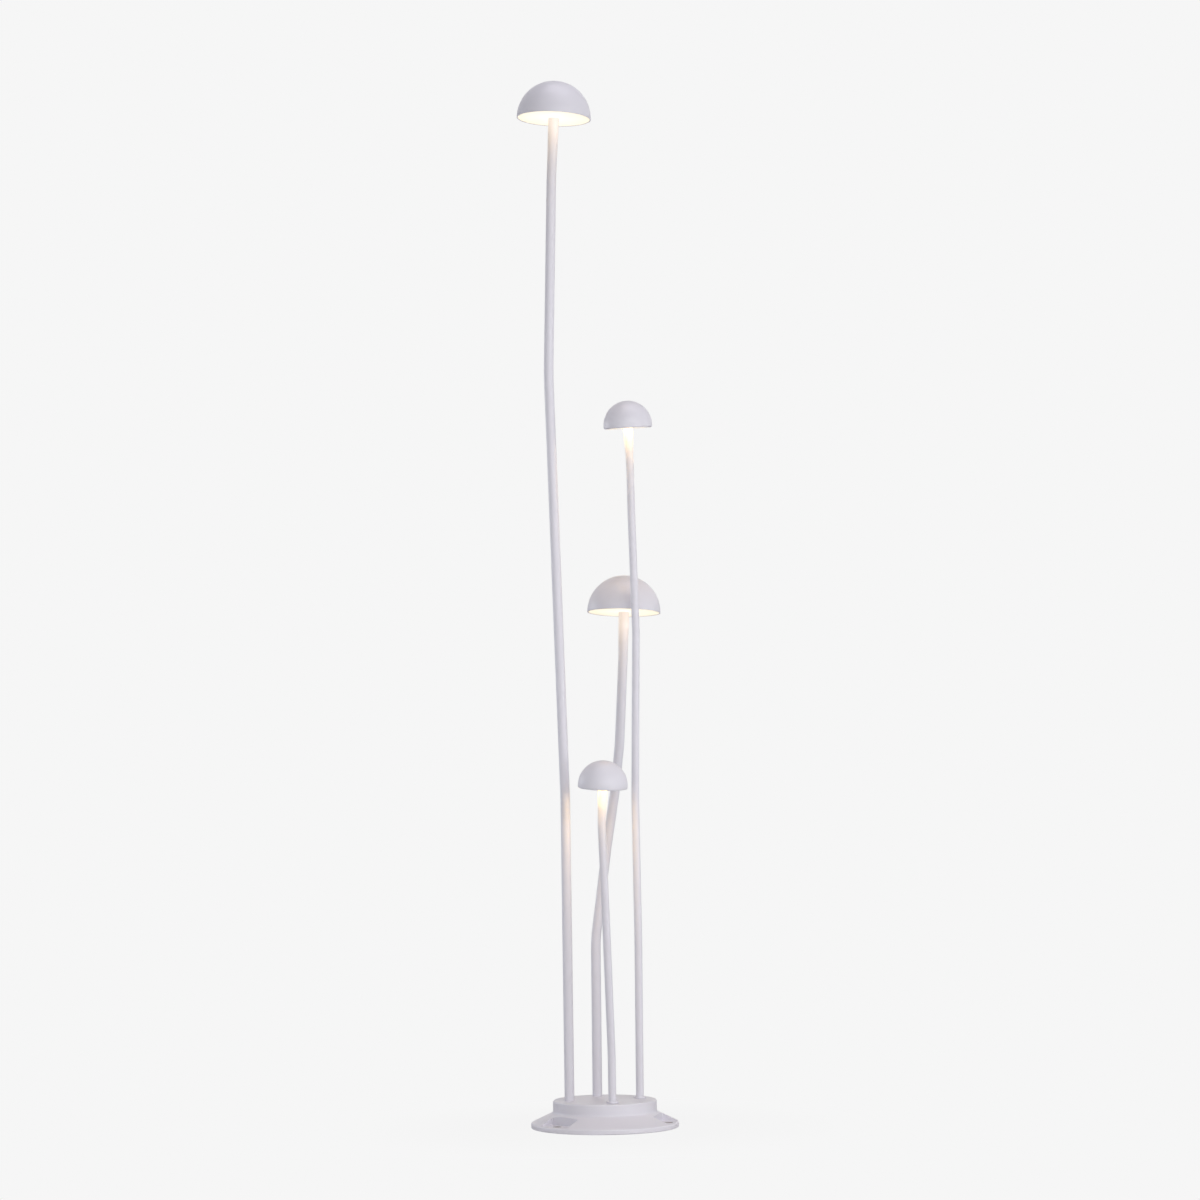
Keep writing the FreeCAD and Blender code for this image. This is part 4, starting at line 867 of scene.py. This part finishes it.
MUSHROOMS = (
    Mushroom("tall", Kind.LARGE, 192.0, 700.0, (
        (-1.3, 5.0, 463.0), (-18.3, -8.0, 660.0), (7.7, 3.0, 307.0), (4.8, 0.0, 96.0))),
    Mushroom("high", Kind.SMALL, 12.0, 450.0, (
        (0.6, 1.0, 248.0), (-1.9, 3.5, 215.0), (4.4, 1.5, 260.0), (-4.7, -3.0, 182.0),
        (-1.1, -2.6, 70.0), (-2.7, -5.7, 65.0))),
    Mushroom("middle", Kind.LARGE, 102.0, 240.0, (
        (0.3, 1.5, 243.0), (19.2, 8.5, 145.0), (13.2, 6.0, 82.0), (8.8, 5.5, 78.0),
        (7.2, 9.5, 135.0), (2.3, 4.7, 73.0))),
    Mushroom("low", Kind.SMALL, 282.0, 260.0, (
        (-0.3, -1.0, 73.0), (-5.6, -13.0, 190.0), (-5.6, -13.5, 163.0), (2.4, -5.0, 53.0))),
)


# ---- base and fittings --------------------------------------------------------------------------


@dataclass(frozen=True)
class Base:
    """The cast base, the rings on it and what it holds.

    Vertices nearer than the merge distance are joined. The walls of the fixing holes lie
    within the mouth's radius and below the pocket's floor. smoothed gives each piece that
    is a smooth copy of a node its node, finish and slot, and plain gives each finish the
    nodes that keep their shape.
    """

    nodes: dict[str, bpy.types.Object]
    merge_distance: float = 0.002
    fixing_angles: tuple[float, ...] = (104.0, 224.0, 344.0)
    fixing_circle: float = 101.5
    fixing_mouth: float = 6.9
    pocket_floor: float = 8.45
    face_weight: int = 100
    smoothed: ClassVar[dict[str, tuple[str, Finish, str]]] = {
        "cast_base": ("base_housing", POWDER_COAT, "powder_coat"),
        "gland_stem": ("gland_body", NYLON, "white_nylon"),
        "gland_dome_nut": ("gland_cap", NYLON, "white_nylon"),
    }
    plain: ClassVar[dict[Finish, tuple[str, ...]]] = {
        ZINC_PLATE: ("base_plate_screws", "driver_screws", "terminal_screw", "earth_screw",
                     "large_foot_nuts", "large_foot_washers", "small_foot_nuts",
                     "small_foot_washers", "large_head_nuts", "small_head_nuts",
                     "hub_screws"),
        GALVANISED: ("base_plate",),
        SILICONE: ("base_gasket", "gland_seal", "gland_washer", "tall_seal", "high_seal",
                   "middle_seal", "low_seal"),
        NYLON: ("gland_nut", "terminal_block"),
        POLYCARBONATE: ("led_driver",),
        TINNED_COPPER: ("earth_lug",),
        LEAD_SHEATH: ("supply_wires", "tall_lead", "high_lead", "middle_lead", "low_lead"),
        TURNED_ALUMINIUM: ("tall_hub", "high_hub", "middle_hub", "low_hub"),
        SOLDER_MASK: ("tall_led_board", "high_led_board", "middle_led_board",
                      "low_led_board"),
    }

    def smooth_copy(self, name: str, node: str) -> bpy.types.Mesh:
        """A node's mesh as a new one, merged and shaded smooth between its sharp edges.

        Args:
            name: name of the new mesh.
            node: the node that is copied.

        Returns:
            The new mesh.
        """
        mesh = bpy.data.meshes.new(name)
        work = bmesh.new()
        work.from_mesh(self.nodes[node].data)
        bmesh.ops.remove_doubles(work, verts=work.verts, dist=self.merge_distance * MM)
        work.to_mesh(mesh)
        work.free()
        # The model's own normals no longer fit once its faces are joined.
        stale = mesh.attributes.get("custom_normal")
        if stale:
            mesh.attributes.remove(stale)
        smooth(mesh)
        return mesh

    def paint_hole_shade(self, mesh: bpy.types.Mesh, hole_shade: bpy.types.Material) -> None:
        """Paint shade on the walls of the fixing holes with a dull dark finish.

        A face is a hole's wall when its centre lies below the pocket's floor and nearer to
        the hole's axis than the mouth's radius.

        Args:
            mesh: the base's mesh.
            hole_shade: the finish of the holes' walls.
        """
        centres = np.zeros((len(mesh.polygons), 3))
        mesh.polygons.foreach_get("center", centres.ravel())
        x, y, z = centres.T / MM
        walls = np.zeros(len(centres), dtype=bool)
        for angle in np.radians(self.fixing_angles):
            off = np.hypot(x - self.fixing_circle * math.cos(angle),
                           y - self.fixing_circle * math.sin(angle))
            walls |= (off < self.fixing_mouth) & (z < self.pocket_floor)
        mesh.materials.append(hole_shade)
        mesh.polygons.foreach_set("material_index", walls.astype(np.int32))
        # Counts the hole-wall faces that carry the painted shade.
        log.info("cast_base: %d faces of its fixing holes are bare", walls.sum())

    def build(self, paints: Paintbox) -> None:
        """Add the base's pieces and dress the nodes that stay.

        Args:
            paints: where the finishes come from.
        """
        for name, (node, finish, slot) in self.smoothed.items():
            piece = show(name, self.smooth_copy(name, node), paints.get(finish), slot, node)
            # The large face sets the shading where it runs into a fillet, so flats stay flat.
            weighted = piece.modifiers.new("weighted", "WEIGHTED_NORMAL")
            weighted.weight = self.face_weight
            weighted.keep_sharp = True
            if node == "base_housing":
                # Painted shade: the fixing holes' walls take a dark finish in place of the shade
                # that falls inside them.
                self.paint_hole_shade(piece.data, paints.get(PAINTED_HOLE_SHADE))
        rings = joined(*(item.collar() for item in MUSHROOMS if item.kind.value.collared))
        show("foot_rings", rings.mesh("foot_rings"), paints.get(POWDER_COAT), "powder_coat",
             "foot_collars")
        for finish, names in self.plain.items():
            for name in names:
                self.nodes[name].data.materials.clear()
                self.nodes[name].data.materials.append(paints.get(finish))
            log.info("%s: %d nodes", finish.name, len(names))


# ---- light, floor and camera --------------------------------------------------------------------


@dataclass(frozen=True)
class Panel:
    """A square soft light that stands round the lamp and is aimed at its axis.

    azimuth is in degrees from the viewer's side towards the right, elevation in degrees,
    distance, size and aim height in metres, and tint is linear.
    """

    name: str
    azimuth: float
    elevation: float
    watts: float
    distance: float = 4.5
    size: float = 3.0
    aim: float = 0.8
    tint: tuple[float, float, float] = (1.0, 1.0, 1.0)

    def build(self) -> None:
        """Add the light, which looks from its place at the aim."""
        azimuth, elevation = math.radians(self.azimuth), math.radians(self.elevation)
        away = Vector((math.sin(azimuth) * math.cos(elevation),
                       -math.cos(azimuth) * math.cos(elevation), math.sin(elevation)))
        data = bpy.data.lights.new(self.name, "AREA")
        data.size = self.size
        data.energy = self.watts
        data.color = self.tint
        light = added(self.name, data)
        light.location = Vector((0.0, 0.0, self.aim)) + away * self.distance
        light.rotation_euler = (-away).to_track_quat("-Z", "Y").to_euler()
        light.visible_camera = False


@dataclass(frozen=True)
class Glow:
    """The light that one kind of head throws down: watts, spread in degrees, linear tint."""

    watts: float
    spread: float
    tint: tuple[float, float, float]


@dataclass(frozen=True)
class Studio:
    """Plain soft studio light, a pale floor and the lamp's own light.

    Colours are sRGB. A head's light lies glow_lift above the rim and glow_inset inside it.
    base_reach is the radius that lies under the base, shadow_reach holds the two radii
    between which the base's shadow fades, all in metres, and shadow_share is how much of
    the lit floor the camera sees before it fades.
    """

    background: str = "#F6F6F6"
    ambient: str = "#FAF9FC"
    ambient_strength: float = 0.1
    panels: tuple[Panel, ...] = (
        Panel("front", -4.0, 8.0, 46.0),
        Panel("key", 26.0, 16.0, 10.0, 2.7, 0.6),
        Panel("edge", -118.0, 10.0, 7.0, 2.7, 0.6),
        Panel("right_front", 48.0, 3.0, 42.0),
        Panel("right", 100.0, 3.0, 25.0),
        Panel("top", 60.0, 85.0, 76.0, tint=(1.0, 0.97, 1.05)),
        Panel("low_left", -60.0, 0.0, 7.0, 2.6, 1.2, 0.5),
        Panel("low_right", 50.0, 0.0, 15.0, 2.8, 1.2, 0.35),
        Panel("low_back_left", -110.0, 3.0, 9.0, 2.8, 1.5, 0.35, (0.9, 0.98, 1.2)),
    )
    glows: dict[Kind, Glow] = field(default_factory=lambda: {
        Kind.LARGE: Glow(0.042, 130.0, (1.0, 0.56, 0.0)),
        Kind.SMALL: Glow(0.105, 170.0, (1.0, 0.62, 0.16))})
    glow_lift: float = 0.2
    glow_inset: float = 4.0
    floor_tone: str = "#E4E4E4"
    floor_rough: float = 0.9
    floor_radius: float = 6000.0
    floor_top: float = -0.05
    floor_bottom: float = -2.0
    base_reach: float = 0.112
    shadow_share: float = 0.04
    shadow_reach: tuple[float, float] = (0.14, 0.42)

    def world(self) -> None:
        """A pale backdrop to the camera and to gloss, and a weaker even light to the rest."""
        world = bpy.data.worlds.new("studio")
        bpy.context.scene.world = world
        world.use_nodes = True
        tree = world.node_tree
        out = tree.nodes["World Output"]
        plain = tree.nodes["Background"]
        plain.inputs["Color"].default_value = colour(self.ambient)
        plain.inputs["Strength"].default_value = self.ambient_strength
        pale = add_node(tree, "ShaderNodeBackground", {"Color": colour(self.background)})
        path = add_node(tree, "ShaderNodeLightPath")
        sharp = add_node(tree, "ShaderNodeMath", links={0: (path, "Is Camera Ray"),
                                                        1: (path, "Is Transmission Ray")},
                         operation="MAXIMUM")
        either = add_node(tree, "ShaderNodeMath", links={0: (sharp, 0),
                                                         1: (path, "Is Glossy Ray")},
                          operation="MAXIMUM")
        mix = add_node(tree, "ShaderNodeMixShader", links={0: (either, 0),
                                                           1: (plain, "Background"),
                                                           2: (pale, "Background")})
        tree.links.new(mix.outputs["Shader"], out.inputs["Surface"])

    def floor(self) -> None:
        """A round pale floor that shows the base's shadow and fades into the backdrop.

        To the camera it is mostly the backdrop's own tone. The lit part, which holds the
        shadow, is all that shows under the base, through its fixing holes. It has a small
        share round the base and none beyond the shadow's reach.
        """
        low, high, radius = self.floor_bottom, self.floor_top, self.floor_radius
        surface = turned(np.array([[0, low], [radius, low], [radius, high], [0, high]]),
                         RING_SIDES)
        mesh = surface.mesh("floor")
        floor = added("floor", mesh)
        material = bpy.data.materials.new("pale_floor")
        material.use_nodes = True
        tree = material.node_tree
        shader = tree.nodes["Principled BSDF"]
        shader.inputs["Base Color"].default_value = colour(self.floor_tone)
        shader.inputs["Roughness"].default_value = self.floor_rough
        pale = add_node(tree, "ShaderNodeEmission", {"Color": colour(self.background)})
        path = add_node(tree, "ShaderNodeLightPath")
        place = add_node(tree, "ShaderNodeTexCoord")
        reach = add_node(tree, "ShaderNodeVectorMath", links={0: (place, "Object")},
                         operation="LENGTH")
        near, far = self.shadow_reach
        flat = add_node(tree, "ShaderNodeMapRange",
                        {"From Min": near, "From Max": far,
                         "To Min": 1 - self.shadow_share, "To Max": 1.0},
                        {"Value": (reach, "Value")}, interpolation_type="SMOOTHSTEP")
        clear = add_node(tree, "ShaderNodeMath", {1: self.base_reach}, {0: (reach, "Value")},
                         operation="GREATER_THAN")
        open_floor = add_node(tree, "ShaderNodeMath", links={0: (clear, 0), 1: (flat, "Result")},
                              operation="MULTIPLY")
        seen = add_node(tree, "ShaderNodeMath", links={0: (path, "Is Camera Ray"),
                                                       1: (open_floor, 0)},
                        operation="MULTIPLY")
        mix = add_node(tree, "ShaderNodeMixShader", links={0: (seen, 0), 1: (shader, "BSDF"),
                                                           2: (pale, "Emission")})
        out = tree.nodes["Material Output"]
        tree.links.new(mix.outputs["Shader"], out.inputs["Surface"])
        mesh.materials.append(material)

    def head_lights(self) -> None:
        """The light that each opal disc throws down, from just under the disc."""
        for item in MUSHROOMS:
            data = bpy.data.lights.new(f"{item.name}_light", "AREA")
            data.shape = "DISK"
            data.size = 2 * (item.kind.value.cap_radius - self.glow_inset) * MM
            glow = self.glows[item.kind]
            data.energy, data.color = glow.watts, glow.tint
            data.spread = math.radians(glow.spread)
            light = added(f"{item.name}_light", data)
            place = item.head_place() @ shift(0, 0, self.glow_lift)
            place[:3, 3] *= MM
            light.matrix_world = Matrix(place.tolist())
            light.visible_camera = False

    def build(self) -> None:
        """Set the scene's light."""
        self.world()
        self.floor()
        for panel in self.panels:
            panel.build()
        self.head_lights()
        log.info("studio: world, floor, %d panels and %d head lights", len(self.panels),
                 len(MUSHROOMS))


@dataclass(frozen=True)
class PhotoCamera:
    """A camera at the photograph's viewing angle.

    The lens and sensor are in millimetres, the place and the clip's end in metres, and the
    angles in degrees.
    """

    lens: float = 95.0
    sensor: float = 36.0
    place: tuple[float, float, float] = (0.0, -4.919, 0.5373)
    yaw: float = 0.0222
    pitch: float = 3.2134
    roll: float = 0.7
    clip_end: float = 100.0

    def build(self) -> None:
        """Add the camera.

        It looks along (sin yaw cos pitch, cos yaw cos pitch, sin pitch), and its right and
        up are turned by the roll.
        """
        yaw, pitch, roll = (math.radians(a) for a in (self.yaw, self.pitch, self.roll))
        ahead = np.array([math.sin(yaw) * math.cos(pitch), math.cos(yaw) * math.cos(pitch),
                          math.sin(pitch)])
        level = np.array([math.cos(yaw), -math.sin(yaw), 0.0])
        over = np.cross(level, ahead)
        right = math.cos(roll) * level - math.sin(roll) * over
        up = math.cos(roll) * over + math.sin(roll) * level
        place = np.eye(4)
        place[:3, :3] = np.column_stack([right, up, -ahead])
        place[:3, 3] = self.place
        data = bpy.data.cameras.new("camera")
        data.lens = self.lens
        data.sensor_width = self.sensor
        data.clip_end = self.clip_end
        camera = added("camera", data)
        camera.matrix_world = Matrix(place.tolist())
        bpy.context.scene.camera = camera


def main() -> None:
    """Load the model, build the lamp's looks round it, and set the light and the camera."""
    logging.basicConfig(level=logging.INFO, format="%(name)s: %(message)s")
    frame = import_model()
    bpy.context.scene.view_settings.view_transform = "Standard"
    paints = Paintbox()
    PhotoCamera().build()
    Studio().build()
    for item in MUSHROOMS:
        item.build(paints)
        log.info("%s mushroom built", item.name)
    Base(frame["nodes"]).build(paints)


if __name__ == "__main__":
    main()
